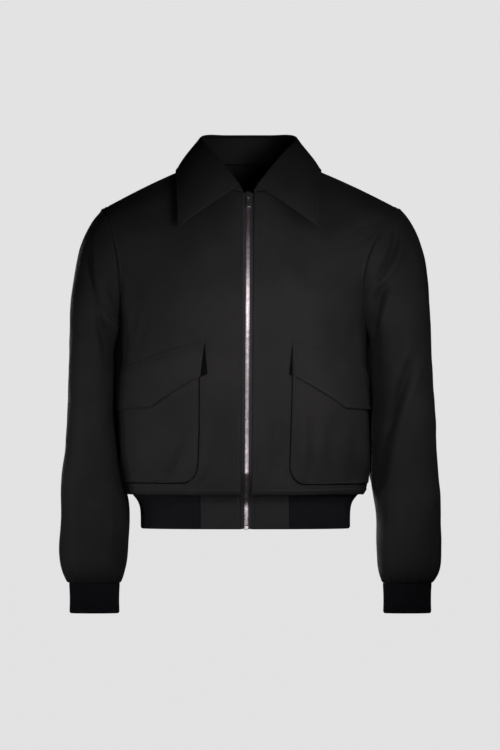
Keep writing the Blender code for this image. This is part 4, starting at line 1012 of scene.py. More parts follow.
def sleeve_relief(grid, normals, away, calm, side):
    """Folds, unevenness, gathers over the cuff and the ridge beside the armhole seam."""
    scale = math.radians(1.0) * SLEEVE_RADIUS
    folds = np.array(SLEEVE_FOLDS[side])
    folds[:, :6:2] *= scale
    turn = np.broadcast_to(np.degrees(SLEEVE_ANGLES), grid.shape[:2])
    lift = fold_relief(np.stack([turn * scale, grid[..., 2]], axis=-1), folds) * calm
    ahead = smooth_step(-normals[..., 1] * 2.5) * smooth_step(away["foot"] / 9.0) * calm
    lift += fold_relief(grid[..., [0, 2]], SLEEVE_FRONT_FOLDS[side]) * ahead
    lift += (uneven(grid, 80.0, 2.6, 5) + uneven(grid, 30.0, 0.8, 6)) * calm
    gathers, start = CUFF_GATHERS[side]
    wave = (np.sin(gathers * SLEEVE_ANGLES + start)
            + 0.6 * np.sin(gathers * 1.7 * SLEEVE_ANGLES + 2.0 * start))
    lift += wave * GATHER_HEIGHT * np.exp(-away["top"] / GATHER_FADE) * smooth_step(away["top"] / 5.0)
    return lift + pressed(away["foot"] - 4.5, 0.9, 3.0) + off_seam(away["foot"], 0.9)


for side in SIDE_SIGN:
    base = sleeve_form(side)
    normals = ring_normals(base, base.mean(axis=1, keepdims=True))
    away = edge_distances(base)
    calm = smooth_step(away["foot"] / 12.0) * smooth_step(away["top"] / 14.0)
    outside = moved(base, normals, sleeve_relief(base, normals, away, calm, side))
    outside[..., 1] += flank_drop(base, side) * smooth_step((0.6 - normals[..., 1]) * 2.0) * calm
    inside = np.minimum(0.0, np.sum((outside - base) * normals, axis=-1) + 1.0)
    make_wall("sleeve_%s_cloth" % side, moved(outside, normals, -pressed(away["top"], 1.2, 1.6)),
              moved(base, normals, inside - CLOTH), ["sleeve_" + side], loop=True)

# %% [markdown]
# ## Collar
# The collar is two pieces: a stand that rises from the neck seam, and a leaf that turns over it
# and falls to two long points.  Table rows give the roll line and the leaf's outer edge; between
# them the leaf lies close to the shoulder, lifted a little where it rolls.

# %% Collar stations and lines
# station from centre back (0) to front end (1); roll line x, y, z; outer edge x, y, z
COLLAR_STATIONS = np.array([
    (0.00, 0.0, 62.0, 52.5, 0.0, 91.0, -22.0),
    (0.18, 38.0, 57.0, 52.5, 50.0, 88.0, -22.0),
    (0.34, 63.0, 38.0, 52.5, 90.0, 68.0, -21.0),
    (0.48, 73.0, 14.0, 48.0, 110.0, 36.0, -15.0),
    (0.62, 69.0, -12.0, 38.0, 116.0, 2.0, -7.0),
    (0.75, 56.0, -39.0, 24.0, 115.0, -36.0, -28.0),
    (0.88, 35.0, -66.0, -1.0, 113.5, -70.0, -62.0),
    (1.00, 13.0, -88.0, -29.0, 112.5, -92.0, -98.0),
])
ROLL_LINE, OUTER_EDGE = 1, 4          # first column of each in the table
COLLAR_NECK_SHARE = 0.45
COLLAR_COLUMNS = 70
FOLD_RADIUS = 2.4
FOLD_TURN = 150.0
STAND_ROWS, LEAF_ROWS = 14, 34
LEAF_CLOTH = 2.2
LEAF_LIFT = 1.2
LEAF_FRONT_LIFT = 3.6     # the front edges stand off the chest
LEAF_FRONT_FROM = 0.72    # station
LEAF_BOW = 5.0


def collar_line(station, place):
    """A smooth line through the collar table, for the roll line or the outer edge."""
    knots, values = COLLAR_STATIONS[:, 0], COLLAR_STATIONS[:, place:place + 3]
    index = min(max(np.searchsorted(knots, station) - 1, 0), len(knots) - 2)
    span = knots[index + 1] - knots[index]

    def rise(k):
        if k == 0:
            return span * (values[1] - values[1] * np.array([-1.0, 1.0, 1.0])) / (2.0 * knots[1])
        following = min(k + 1, len(knots) - 1)
        return span * (values[following] - values[k - 1]) / (knots[following] - knots[k - 1])

    return hermite(values[index], values[index + 1], rise(index), rise(index + 1),
                   (station - knots[index]) / span)


def neck_seam(station, side):
    if station <= COLLAR_NECK_SHARE:
        return top_edge(NECK_COLUMN * station / COLLAR_NECK_SHARE, side, "back")
    return top_edge(NECK_COLUMN * (1.0 - station) / (1.0 - COLLAR_NECK_SHARE), side, "front")


def body_tree(across=41, upward=49):
    """Outside of fronts and back as a search tree, for pieces that lie on them."""
    points, faces = [], []
    column, row = np.meshgrid(np.linspace(0.0, 1.0, across), np.linspace(UNDERARM_ROW, TIP_ROW, upward))
    for side, face in QUARTERS:
        base = len(points)
        points += [Vector(point) for point in body_surface(column, row, side, face).reshape(-1, 3)]
        for low in range(upward - 1):
            for left in range(across - 1):
                first = base + low * across + left
                faces.append((first, first + 1, first + across + 1, first + across))
    return BVHTree.FromPolygons(points, faces)


def lift_off(point, tree, clearance):
    """Move a point out until it stands at least the clearance off the body."""
    place, normal, _, _ = tree.find_nearest(Vector(point))
    if normal.dot(Vector((place.x * 0.4, place.y - 5.0, 60.0))) < 0.0:
        normal = -normal
    height = (Vector(point) - place).dot(normal)
    return np.array(Vector(point) + normal * max(0.0, clearance - height))


def collar_frame(station, side):
    """Neck seam, roll line and outer edge at a station, and its upward and outward directions."""
    mirror = np.array([SIDE_SIGN[side], 1.0, 1.0])
    foot = neck_seam(station, side)
    roll, edge = collar_line(station, ROLL_LINE) * mirror, collar_line(station, OUTER_EDGE) * mirror
    ahead = collar_line(min(station + 0.01, 1.0), ROLL_LINE) * mirror
    tangent = unit(ahead - collar_line(max(station - 0.01, 0.0), ROLL_LINE) * mirror)
    up = roll - foot
    up = unit(up - tangent * (up @ tangent))
    out = np.cross(up, tangent)
    return foot, roll, edge, up, unit(out * np.sign(out @ (edge - roll)))


# %% Lines of the collar
neck_body = body_tree()
half_stations = places_with_fine_ends(COLLAR_COLUMNS, 300.0)[6:]
half_stations = (half_stations - half_stations[0]) / (1.0 - half_stations[0])
collar_order = [("right", station) for station in half_stations[::-1]]
collar_order += [("left", station) for station in half_stations[1:]]
leaf_shares = places_with_fine_ends(LEAF_ROWS, 75.0)[6:]
fold_turn = np.radians(np.linspace(0.0, FOLD_TURN, 10))[:, None]
stand_lines, leaf_lines, collar_outs = [], [], []
for side, station in collar_order:
    foot, roll, edge, up, out = collar_frame(station, side)
    top = roll - up * (FOLD_RADIUS + CLOTH / 2.0)
    low, high = foot + up * 1.2, top - up * 0.9
    stand_lines.append([low + (high - low) * share for share in np.linspace(0.0, 1.0, STAND_ROWS)])
    line = list(top + out * (FOLD_RADIUS * (1.0 - np.cos(fold_turn)))
                + up * (FOLD_RADIUS * np.sin(fold_turn)))
    start = line[-1] + out * 0.6 - up * 1.0
    front_lift = LEAF_FRONT_LIFT * smooth_step((station - LEAF_FRONT_FROM) / (1.0 - LEAF_FRONT_FROM))
    for share in leaf_shares:
        point = start + (edge - start) * share + out * (LEAF_BOW * math.sin(math.pi * share))
        clearance = LEAF_LIFT + LEAF_CLOTH / 2.0 + front_lift * (1.0 - 0.5 * share)
        line.append(lift_off(point, neck_body, clearance))
    leaf_lines.append(line)
    collar_outs.append(out)
collar_outs = np.array(collar_outs)

# %% Make the stand
stand_grid = np.array(stand_lines).transpose(1, 0, 2)
stand_normals = grid_normals(stand_grid, False)
stand_normals *= np.sign(np.sum(stand_normals * collar_outs, axis=-1, keepdims=True))
stand_normals[-1] = collar_outs
away = edge_distances(stand_grid)
stand_relief = topstitched(away["free"]) * 0.7 - pressed(away["free"], 0.4, 0.8)
make_wall("collar_stand_cloth", moved(stand_grid, stand_normals, -CLOTH / 2.0 - stand_relief),
          stand_grid + stand_normals * (CLOTH / 2.0), ["collar_stand"])

# %% Make the leaf
LEAF_FLAT_FROM = 20       # a row beyond the roll, where the leaf lies on the shoulder
ROLL_DEPTH = 8.0
leaf_grid = np.array(leaf_lines).transpose(1, 0, 2)
leaf_normals = grid_normals(leaf_grid, False)
leaf_normals *= np.sign(np.sum(leaf_normals[LEAF_FLAT_FROM] * collar_outs, axis=-1)).mean()
leaf_normals[0] = collar_outs * np.sign(np.sum(leaf_normals[0] * collar_outs, axis=-1, keepdims=True))
away = edge_distances(leaf_grid)
leaf_free = np.minimum(away["top"], away["sides"])
leaf_edge = np.where(away["foot"] < ROLL_DEPTH, 30.0, leaf_free)
leaf_calm = smooth_step(away["foot"] / 20.0) * smooth_step(leaf_edge / 12.0)
leaf_lift = topstitched(leaf_edge) * smooth_step(away["foot"] / 14.0)
leaf_lift += uneven(leaf_grid, 60.0, 1.2, 7) * leaf_calm
leaf_outside = moved(leaf_grid, leaf_normals, LEAF_CLOTH / 2.0 + leaf_lift)
rolled_edge = pressed(leaf_free, 0.9, 0.8)
make_wall("collar_leaf_cloth", moved(leaf_outside, leaf_normals, -rolled_edge),
          moved(leaf_grid, leaf_normals, rolled_edge * 0.5 - LEAF_CLOTH / 2.0), ["collar_leaf"])

# %% [markdown]
# ## Pockets and flaps
# Each front carries a patch pocket with a rounded lower corner, and a pointed flap over its mouth.
# The patch has a bellows at its inner side, which opens under the flap as a little triangle.  That
# triangle, and a strip along the patch's inner side and foot, are coloured near-black: painted shade
# for the shadow in the gaps there.  Patch and flap are laid over the front, point by point, on its own
# surface and folds.

# %% Pocket outlines and the places of points on a front
POCKETS = {
    "right": {
        # z and inner edge x of the patch, then (x, z) points of the flap's seam and of its free edge
        "patch": [(-296.0, 75.0), (-338.0, 78.5), (-421.0, 79.0), (-478.0, 81.0), (-488.0, 83.0),
                  (-496.0, 87.5), (-501.5, 94.0), (-504.0, 103.0)],
        "flap_top": [(69.0, -277.0), (180.0, -313.0), (209.0, -325.0)],
        "flap_foot": [(76.0, -335.5), (150.0, -384.0), (209.0, -389.0)],
        "bellows": [(69.5, -279.0), (64.6, -331.5), (77.4, -336.5)],
    },
    "left": {
        "patch": [(-296.0, 69.5), (-340.0, 70.0), (-421.0, 68.0), (-480.0, 66.5), (-490.0, 68.5),
                  (-498.0, 73.0), (-503.5, 79.5), (-506.0, 88.0)],
        "flap_top": [(69.0, -279.0), (152.0, -303.0), (189.0, -325.0)],
        "flap_foot": [(73.0, -336.0), (149.0, -386.0), (189.0, -390.0)],
        "bellows": [(69.5, -281.0), (64.0, -332.0), (74.0, -337.0)],
    },
}
POCKET_SIDE_COLUMN = 0.965
POCKET_SWELL = 3.2
MOUTH_DROP = 17.0
LIE_GAP = 0.5

row_probe = np.linspace(3.0, UNDERARM_ROW, 400)
row_heights = smooth_rows(BODY_KNOTS["right", "front"], row_probe)[:, 1]
column_probe = np.linspace(0.0, 1.0, 161)


def row_at(z):
    return np.interp(z, row_heights, row_probe)


def column_at(x, z, side):
    reach = np.abs(body_surface(column_probe, row_at(z), side, "front")[:, 0])
    return float(np.interp(abs(x), reach, column_probe))


def edge_line(points, side, places):
    """Columns and heights along a slanted edge, from its inner end (0) to the side (1)."""
    columns = np.array([column_at(x, z, side) for x, z in points[:-1]] + [POCKET_SIDE_COLUMN])
    knots = (columns - columns[0]) / (columns[-1] - columns[0])
    return (columns[0] + (columns[-1] - columns[0]) * places,
            np.interp(places, knots, [z for _, z in points]))


def laid_on_front(columns, rows, rise, side):
    """Points on a front, moved out by a rise, and their normals."""
    points = body_surface(columns, rows, side, "front")
    normals = surface_normals(body_surface, columns, rows, side, "front")
    calm = smooth_step((1.0 - columns) * FRONT_WIDTH / CALM_EDGE)
    return moved(points, normals, rise + front_relief(points, side, calm)), normals


def pocket_swell(across, below):
    """How far the pocket bag swells; below runs from its mouth (0) to its foot (1)."""
    sides = smooth_step(across * 6.0) * smooth_step((1.0 - across) * 5.0)
    return POCKET_SWELL * sides * smooth_step(below * 3.0) * smooth_step((1.0 - below) * 4.0)


# %% Make the patch pockets
# x, z of three points, width, depth, lip
POCKET_FOLDS = {
    "right": [
        (-88, -412, -102, -450, -120, -500, 9, 5.6, 3),
        (-150, -400, -152, -440, -146, -490, 16, 1.2, 0.5),
        (-176, -415, -180, -450, -178, -488, 10, 1, 0.5),
    ],
    "left": [
        (99, -395, 104, -440, 98, -495, 9, 3.2, 2),
        (136, -410, 131, -450, 138, -496, 10, 3.4, 1.8),
        (168, -405, 172, -450, 168, -492, 9, 2.2, 1),
    ],
}
PATCH_ACROSS = places_with_fine_ends(66, 130.0)
PATCH_UP = places_with_fine_ends(70, 170.0)
pocket_shapes = {}
for side in SIDE_SIGN:
    shape = POCKETS[side]
    heights, inner_x = np.array(shape["patch"][::-1]).T
    _, mouth = edge_line(shape["flap_top"], side, PATCH_ACROSS)
    z = heights[0] + (mouth[None] - MOUTH_DROP - heights[0]) * PATCH_UP[:, None]
    first = np.array([[column_at(np.interp(value, heights, inner_x), value, side) for value in line[::6]]
                      for line in z])
    first = np.array([np.interp(PATCH_ACROSS, PATCH_ACROSS[::6], line) for line in first])
    columns = first + (POCKET_SIDE_COLUMN - first) * PATCH_ACROSS
    swell = pocket_swell(PATCH_ACROSS, 1.0 - PATCH_UP[:, None])
    low, normals = laid_on_front(columns, row_at(z), LIE_GAP + swell, side)
    edge = edge_distances(low)["free"]
    calm = smooth_step(edge / 14.0)
    lift = fold_relief(low[..., [0, 2]], POCKET_FOLDS[side]) * calm + uneven(low, 45.0, 1.2, 8) * calm
    lift += topstitched(edge) * 1.4
    outside = moved(low, normals, CLOTH + lift)
    pocket_shapes[side] = (low, outside, normals)
    make_wall("pocket_%s_patch" % side, moved(outside, normals, -pressed(edge, 1.1, 0.9)),
              moved(low, normals, np.minimum(lift, 0.0)), ["pocket_" + side])

# %% Make the bellows and the strips along the patches, both coloured with painted shade
BELLOWS_ROWS, BELLOWS_COLUMNS = 16, 9
SHADOW_STRIP_PLACES = np.array([-1.0, 0.2, 1.1, 1.7])      # across the strip, outwards from the patch's edge
SHADOW_STRIP_FRONT, SHADOW_STRIP_BACK = 0.45, 1.2
for side in SIDE_SIGN:
    tip, near_zip, under_flap = np.array(POCKETS[side]["bellows"])
    fall = np.linspace(0.02, 1.0, BELLOWS_ROWS)[:, None]
    fan = np.linspace(0.0, 1.0, BELLOWS_COLUMNS)[None]
    x, z = [tip[i] + (near_zip[i] + (under_flap[i] - near_zip[i]) * fan - tip[i]) * fall for i in (0, 1)]
    columns = np.array([[column_at(*point, side) for point in zip(*line)] for line in zip(x, z)])
    rise = 0.2 + 1.6 * fan * fall - 0.8 * np.sin(math.pi * fan) * fall
    low, normals = laid_on_front(columns, row_at(z), rise, side)
    # the bellows has real form, but its near-black finish is painted shade
    make_wall("pocket_%s_bellows" % side, low + normals, low, finish=painted_shade_twill)

    # painted shadow: a near-black strip along the patch's inner edge and foot stands for the shadow line in
    # the gap beside it
    patch, _, patch_normals = pocket_shapes[side]
    path, facing = [np.concatenate([grid[::-1, 0], grid[0, 1:]]) for grid in (patch, patch_normals)]
    outward = unit(np.cross(facing, np.gradient(path, axis=0)))
    outward *= np.sign(np.sum(outward * (path - patch.mean(axis=(0, 1))), axis=-1)).mean()
    strip = path + outward * SHADOW_STRIP_PLACES[:, None, None]
    make_wall("pocket_%s_gusset" % side, strip + facing * SHADOW_STRIP_FRONT, strip - facing * SHADOW_STRIP_BACK,
              finish=painted_shade_twill)

# %% Make the flaps
FLAP_ACROSS = places_with_fine_ends(64, 140.0)
FLAP_UP = places_with_fine_ends(26, 62.0)
FLAP_SEAM_RISE, FLAP_GAP, FLAP_LIFT_RUN = 0.2, 0.6, 18.0
FLAP_EDGE_LIFT = {"right": (0.42, 3.4), "left": (0.86, 2.2)}     # place along the free edge, height
FLAP_LIFT_WIDTH = 0.16
flap_shapes = {}
for side in SIDE_SIGN:
    shape = POCKETS[side]
    top_columns, top_z = edge_line(shape["flap_top"], side, FLAP_ACROSS)
    foot_columns, foot_z = edge_line(shape["flap_foot"], side, FLAP_ACROSS)
    share = FLAP_UP[:, None]
    columns = foot_columns + (top_columns - foot_columns) * share
    z = foot_z + (top_z - foot_z) * share
    mouth_z = top_z - MOUTH_DROP
    below = np.clip((mouth_z - z) / (mouth_z - shape["patch"][-1][0]), 0.0, 1.0)
    rise = FLAP_SEAM_RISE + (LIE_GAP + CLOTH + FLAP_GAP) * smooth_step((top_z - z) / FLAP_LIFT_RUN)
    rise += pocket_swell(FLAP_ACROSS[None], below)
    place, height = FLAP_EDGE_LIFT[side]
    rise += pressed(FLAP_ACROSS - place, height, FLAP_LIFT_WIDTH) * (1.0 - share) ** 2
    low, normals = laid_on_front(columns, row_at(z), rise, side)
    away = edge_distances(low)
    lift = topstitched(away["free"]) + uneven(low, 40.0, 0.9, 9) * smooth_step(away["free"] / 12.0)
    outside = moved(low, normals, CLOTH + lift - furrow(away["top"]))
    flap_shapes[side] = (outside, normals)
    dip = pressed(away["free"], 1.0, 0.8) + pressed(away["top"], 1.2, 0.9)
    make_wall("flap_%s_cloth" % side, moved(outside, normals, -dip), low, ["flap_" + side])

# %% [markdown]
# ## Hem rib, waist tabs and cuffs
# Rib knit is a row of raised columns of loops.  Each rib is modelled, because its shade is what
# tells knit from cloth; the loops on it are left to the bump of the knit finish.  Beside the zip
# the hem band is plain twill.

# %% Rib helpers
RIB_KNIT = 2.0
RIB_PITCH = 2.7
RIB_HEIGHT = 0.6
POINTS_PER_RIB = 4
RIB_EDGE, RIB_EDGE_ROUND = 1.2, 1.6       # how the lower edge rolls in


def even_line(line, count, values):
    """Values of a closed or open line, read at even distances along it."""
    run = line_run(line)
    return read_line(run, values, np.linspace(0.0, run[-1], count))


def rib_relief(count, to_edge, strength=1.0):
    """Raised ribs with narrow furrows between them, which roll in at the lower edge."""
    turn = np.arange(count) * 2.0 * math.pi / POINTS_PER_RIB
    ribs = RIB_HEIGHT * np.abs(np.cos(turn / 2.0)) ** 0.8 * strength
    return ribs * smooth_step(to_edge / 2.5) - pressed(to_edge, RIB_EDGE, RIB_EDGE_ROUND)


# %% Make the cuffs
CUFF_FOOT_Z = -713.0
CUFF_TAPER, CUFF_WAIST = 0.012, 0.02
CUFF_SEAM_GAP = 0.15
for side in SIDE_SIGN:
    seam = np.array(SLEEVE_SECTIONS[side][-1])
    fine = np.linspace(0.0, 2.0 * math.pi, 721)
    outline = ring_point(side, fine, np.broadcast_to(seam, (len(fine), 5)))
    count = int(line_run(outline)[-1] / RIB_PITCH) * POINTS_PER_RIB
    ring = even_line(outline, count + 1, outline)[:-1]
    middle = ring.mean(axis=0)
    share = places_with_fine_ends(16, 48.0)[:, None, None]
    narrow = 1.0 - CUFF_TAPER * share - CUFF_WAIST * np.sin(math.pi * share)
    grid = middle + (ring - middle) * np.concatenate([narrow, narrow, narrow ** 0], axis=-1)
    grid[..., 2] += (CUFF_FOOT_Z - seam[0]) * share[..., 0]
    grid[0, :, 2] -= CUFF_SEAM_GAP
    normals = ring_normals(grid, middle)
    make_wall("cuff_%s_knit" % side, moved(grid, normals, rib_relief(count, edge_distances(grid)["top"])),
              grid - normals * RIB_KNIT, ["cuff_" + side], knit, loop=True)

# %% Make the hem rib
WAIST_TAB_X = {"right": 76.0, "left": 65.0}
band_rows = places_with_fine_ends(12, 62.0, (1.2, 3.0)) * WAIST_ROW


def tab_column(side, row):
    reach = np.abs(waist_surface(column_probe, row, side, "front")[:, 0])
    return float(np.interp(WAIST_TAB_X[side], reach, column_probe))


def band_line(row):
    """Points and normals round the hem band at one row, from tab to tab over the back."""
    stops = [(np.linspace(tab_column("right", row), 1.0, 90), row, "right", "front"),
             (np.linspace(1.0, 0.0, 120)[1:], row, "right", "back"),
             (np.linspace(0.0, 1.0, 120)[1:], row, "left", "back"),
             (np.linspace(1.0, tab_column("left", row), 90)[1:], row, "left", "front")]
    return (np.concatenate([waist_surface(*stop) for stop in stops]),
            np.concatenate([surface_normals(waist_surface, *stop) for stop in stops]))


BAND_END_DROP, BAND_END_ROUND = 0.8, 1.5
longest, _ = band_line(WAIST_ROW)
band_count = int(line_run(longest)[-1] / RIB_PITCH) * POINTS_PER_RIB + 1
band_lines = [band_line(row) for row in band_rows]
band_grid = np.array([even_line(line, band_count, line) for line, _ in band_lines])
band_normals = unit(np.array([even_line(line, band_count, facing) for line, facing in band_lines]))
away = edge_distances(band_grid)
ends = smooth_step(away["sides"] / BAND_END_ROUND)
band_lift = rib_relief(band_count, away["foot"], ends) - BAND_END_DROP * (1.0 - ends)
make_wall("hem_rib_knit", moved(band_grid, band_normals, band_lift), band_grid - band_normals * RIB_KNIT,
          ["hem_rib"], knit)

# %% Make the waist tabs
TAB_RAISE = 0.4
tab_shapes = {}
for side in SIDE_SIGN:
    ends = np.array([tab_column(side, row) for row in band_rows])
    columns = ends[:, None] * places_with_fine_ends(24, 68.0)[None]
    place = (columns, np.broadcast_to(band_rows[:, None], columns.shape), side, "front")
    grid, normals = waist_surface(*place), surface_normals(waist_surface, *place)
    edge = edge_distances(grid)["free"]
    lift = topstitched(edge) + uneven(grid, 30.0, 0.8, 11) * smooth_step(edge / 8.0)
    outside = moved(grid, normals, TAB_RAISE + lift)
    tab_shapes[side] = (outside, normals)
    make_wall("waist_tab_%s_cloth" % side, moved(outside, normals, -pressed(edge, 1.0, 0.8)),
              grid - normals * CLOTH, ["waist_tab_" + side])

# %% [markdown]
# ## Zip
# Two woven tapes carry the teeth.  Their inner edges show beside the chain; the rest is sewn
# behind the fronts.  Each tooth is a small clamped piece of metal, and the two rows take turns.
# The closed slider sits at the top with a plain pull that hangs from its bridge.

# %% Zip sizes and the line of its centre
CHAIN_WIDTH = 6.2
CHAIN_FRONT = 0.9
TAPE_FRONT = 2.4
TAPE_EDGE_DROP = 0.9
TAPE = 1.0
TAPE_WIDTH = 14.0
TOOTH_PITCH = 2.3
ZIP_BOX_HEIGHT = 6.5
TO_THE_LEFT = np.array([1.0, 0.0, 0.0])

zip_upper = body_surface(np.zeros(700), np.linspace(TIP_ROW, 5.0, 700), "left", "front")
zip_lower = waist_surface(np.zeros(160), np.linspace(WAIST_ROW, 0.0, 160), "left", "front")
zip_path = np.concatenate([zip_upper, zip_lower[zip_lower[:, 2] < -526.0]])
zip_path[:, 0] = zip_x(zip_path[:, 2])
zip_run = line_run(zip_path)


def zip_frame(distance):
    """Place, upward and outward directions of the zip at a distance below its top."""
    before, place, after = [read_line(zip_run, zip_path, distance + step) for step in (-2.0, 0.0, 2.0)]
    upward = unit(before - after)
    return place, upward, unit(np.cross(upward, -TO_THE_LEFT))


print("zip length: %.0f mm" % zip_run[-1])

# %% Make the zip tapes
TAPE_PLACES = np.array([0.0, 0.5, 1.2, 2.2, 3.4, 4.6, 6.0, 8.0, 11.0, TAPE_WIDTH])
TAPE_END = 0.4
for side in SIDE_SIGN:
    across = TAPE_PLACES[:, None]
    bend = (across / 60.0) ** 2 * 14.0
    drop = TAPE_FRONT + TAPE_EDGE_DROP * across / TAPE_WIDTH + bend
    outer, inner = [], []
    for distance in np.append(np.arange(0.0, zip_run[-1] - TAPE_END, 3.0), zip_run[-1] - TAPE_END):
        place, upward, outward = zip_frame(distance)
        line = place + SIDE_SIGN[side] * (CHAIN_WIDTH / 2.0 - 0.4 + across) * TO_THE_LEFT
        outer.append(line - outward * (drop + pressed(across, 0.35, 0.5)))
        inner.append(line - outward * (drop + TAPE))
    make_wall("zip_%s_tape" % side, np.array(outer)[::-1], np.array(inner)[::-1],
              ["zip_tape_" + side], tape_finish)


# %% Helpers for many small solids
SOLID_SHARP_ANGLE = 35.0


def make_solids(name, solids, finish, nodes=()):
    """One object of many small closed solids, each with its points in millimetres and its faces."""
    points, faces = [], []
    for own_points, own_faces in solids:
        faces += [tuple(len(points) + index for index in face) for face in own_faces]
        points += list(own_points)
    mesh = bpy.data.meshes.new(name)
    mesh.from_pydata((np.asarray(points) * MILLIMETRE).tolist(), [], faces)
    finish_piece(name, mesh, finish, "jacket", nodes, SOLID_SHARP_ANGLE)
    print("%s: %d solids, %d faces" % (name, len(solids), len(faces)))


def layered_faces(count, layers):
    """Faces of a closed solid from equal outlines, one above the other."""
    faces = [tuple(range(count))[::-1], tuple(range((layers - 1) * count, layers * count))]
    for low in range(0, (layers - 1) * count, count):
        for index in range(count):
            following = (index + 1) % count
            faces.append((low + index, low + following, low + count + following, low + count + index))
    return faces


# %% Make the teeth
# outline of one tooth: x from the zip centre on its own side, z; and how it narrows to the front
TOOTH_OUTLINE = np.array([(3.1, -0.72), (1.4, -0.72), (0.5, -0.5), (-0.9, -0.62), (-1.25, 0.0),
                          (-0.9, 0.62), (0.5, 0.5), (1.4, 0.72), (3.1, 0.72)])
TOOTH_CENTRE = np.array([1.0, 0.0])
TOOTH_LAYERS = [(2.4, 0.86), (2.1, 1.0), (0.35, 1.0), (0.0, 0.72)]     # depth behind the front, size
SLIDER_FOOT = 14.5
tooth_faces = layered_faces(len(TOOTH_OUTLINE), len(TOOTH_LAYERS))
teeth = []
for sign, offset in ((-1.0, 0.0), (1.0, TOOTH_PITCH / 2.0)):
    for distance in np.arange(SLIDER_FOOT + offset, zip_run[-1] - ZIP_BOX_HEIGHT, TOOTH_PITCH):
        place, upward, outward = zip_frame(distance)
        layers = []
        for depth, size in TOOTH_LAYERS:
            flat = TOOTH_CENTRE + (TOOTH_OUTLINE - TOOTH_CENTRE) * np.array([0.5 + size / 2.0, size])
            layers.append(place + flat[:, :1] * sign * TO_THE_LEFT + flat[:, 1:] * upward
                          - outward * (CHAIN_FRONT + depth))
        teeth.append((np.concatenate(layers), tooth_faces))
make_solids("zip_teeth", teeth, teeth_metal, ["zip_chain"])

# %% [markdown]
# ## Slider, stops and box
# The solid's own slider, pull, stops and box have the right form but hard edges.  Real cast parts
# are tumbled until every edge is round, so each gets a copy with rounded edges in its place.

# %% Round the edges of the metal parts
# node, piece, finish, slot, body, radius of its edges
METAL_PARTS = [
    ("zip_slider", "slider_body", slider_metal, "zip_metal", "jacket", 0.3),
    ("zip_pull", "pull_tab_metal", slider_metal, "zip_metal", "pull_tab", 0.25),
    ("zip_top_stop_right", "top_stop_right", slider_metal, "zip_metal", "jacket", 0.3),
    ("zip_top_stop_left", "top_stop_left", slider_metal, "zip_metal", "jacket", 0.3),
    ("zip_box", "bottom_stop_box", teeth_metal, "zip_teeth", "jacket", 0.5),
]
for node, name, finish, slot, body, radius in METAL_PARTS:
    piece = add_object(name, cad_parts[node].data.copy())
    work = bmesh.new()
    work.from_mesh(piece.data)
    bmesh.ops.remove_doubles(work, verts=work.verts, dist=0.01 * MILLIMETRE)
    bmesh.ops.dissolve_limit(work, angle_limit=math.radians(2.0), verts=work.verts, edges=work.edges)
    work.to_mesh(piece.data)
    work.free()
    piece.data.materials.clear()
    piece.data.materials.append(finish)
    edge_round = piece.modifiers.new("rounded_edges", "BEVEL")
    edge_round.width = radius * MILLIMETRE
    edge_round.segments = 3
    edge_round.limit_method = "ANGLE"
    edge_round.angle_limit = math.radians(30.0)
    piece.data.shade_smooth()
    piece.data.set_sharp_from_angle(angle=math.radians(40.0))
    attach(piece, body)
    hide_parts(node)
print("metal parts:", len(METAL_PARTS))

# %% [markdown]
# ## Topstitching
# A line of lockstitches runs 6 mm inside most edges.  Each visible stitch is a short, low, rounded
# length of thread that dips into the cloth at both ends, so every one is a small solid; a drawn
# line would lose that sparkle.

# %% Stitch helpers
STITCH_STEP = 3.2
STITCH_HALF = 1.25        # half the length of a stitch
STITCH_ACROSS = 0.275     # half its width
STITCH_HEIGHT = 0.3
STITCH_DIP = -0.12
# along, across and up: both ends, both sides, the ridge on top
STITCH_POINTS = np.array([
    (-1.0, 0.0, STITCH_DIP), (-0.6, -1.0, 0.0), (0.6, -1.0, 0.0), (1.0, 0.0, STITCH_DIP), (0.6, 1.0, 0.0),
    (-0.6, 1.0, 0.0), (-0.45, 0.0, STITCH_HEIGHT), (0.45, 0.0, STITCH_HEIGHT)])
STITCH_FACES = [(0, 1, 6), (1, 2, 7, 6), (2, 3, 7), (3, 4, 7), (4, 5, 6, 7), (5, 0, 6), (5, 4, 3, 2, 1, 0)]


def seam_line(shape, edge, skip_first=0.0, skip_last=0.0, inset=STITCH_INSET):
    """Points and normals of a line at a distance inside one edge of a grid."""
    *_, grid, normals = shape
    if edge in ("foot", "top"):
        grid, normals = grid.transpose(1, 0, 2), normals.transpose(1, 0, 2)
    if edge in ("end", "top"):
        grid, normals = grid[:, ::-1], normals[:, ::-1]
    run = run_lengths(grid, 1)
    line, facing = [np.array([read_line(*row, inset) for row in zip(run, values)])
                    for values in (grid, normals)]
    length = line_run(line)
    keep = (length >= skip_first) & (length <= length[-1] - skip_last)
    return line[keep], unit(facing[keep])


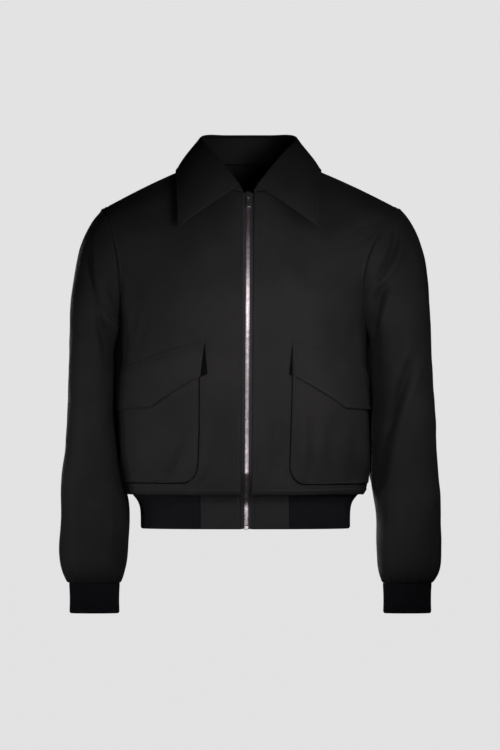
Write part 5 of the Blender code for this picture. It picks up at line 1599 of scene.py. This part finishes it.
def sew(name, seams):
    """The stitches along several lines, as one piece of thread."""
    stitches = []
    for line, facing in seams:
        run = line_run(line)
        for distance in np.arange(STITCH_STEP / 2.0, run[-1], STITCH_STEP):
            back, place, ahead = [read_line(run, line, distance + step) for step in (-1.0, 0.0, 1.0)]
            out = unit(read_line(run, facing, distance))
            along = unit(ahead - back)
            axes = np.array([along * STITCH_HALF, np.cross(along, out) * STITCH_ACROSS, out])
            stitches.append((place + STITCH_POINTS @ axes, STITCH_FACES))
    make_solids(name, stitches, thread)


# %% Sew the fronts and back
FOOT_STITCH = FOOT_TURN + STITCH_INSET
SLIDER_SKIP = 18.0
from_underarm = slice(int(np.searchsorted(BODY_ROWS, UNDERARM_ROW + 0.4)), None)
back_shape = (back_outside, back_normals)
body_seams = []
for side in SIDE_SIGN:
    armhole = [grid[from_underarm] for grid in front_shapes[side]]
    body_seams += [seam_line(armhole, "end", 0.0, 4.0),
                   seam_line(front_shapes[side], "start", SLIDER_SKIP, 3.0),
                   seam_line(front_shapes[side], "foot", 6.0, 3.0, FOOT_STITCH)]
body_seams.append(seam_line(back_shape, "foot", 3.0, 3.0, FOOT_STITCH))
body_seams += [seam_line([grid[from_underarm] for grid in back_shape], edge, 0.0, 4.0)
               for edge in ("start", "end")]
sew("body_topstitching", body_seams)

# %% Sew the collar, pockets, flaps and tabs
LEAF_FALL_FROM = 16       # the first row beyond the roll
leaf_shape = (leaf_outside, leaf_normals)
collar_seams = [seam_line([grid[LEAF_FALL_FROM:] for grid in leaf_shape], edge, 4.0, STITCH_INSET)
                for edge in ("start", "end")]
sew("collar_topstitching", collar_seams + [seam_line(leaf_shape, "top", STITCH_INSET, STITCH_INSET)])
# edge, how much of the line stays bare at its first and at its last end
PATCH_SEAMS = [("start", 6.0, 2.0), ("end", 6.0, 2.0), ("foot", 6.0, 6.0)]
FLAP_SEAMS = [("start", 6.0, 6.0), ("end", 6.0, 6.0), ("foot", 6.0, 6.0), ("top", 0.0, 0.0)]
TAB_SEAMS = [("foot", 6.0, 6.0), ("start", 6.0, 0.0), ("end", 6.0, 0.0)]
sew("pocket_topstitching", [seam_line(shapes[side], *seam) for side in SIDE_SIGN
                            for shapes, seams in ((pocket_shapes, PATCH_SEAMS), (flap_shapes, FLAP_SEAMS))
                            for seam in seams])
sew("tab_topstitching", [seam_line(tab_shapes[side], *seam) for side in SIDE_SIGN for seam in TAB_SEAMS])
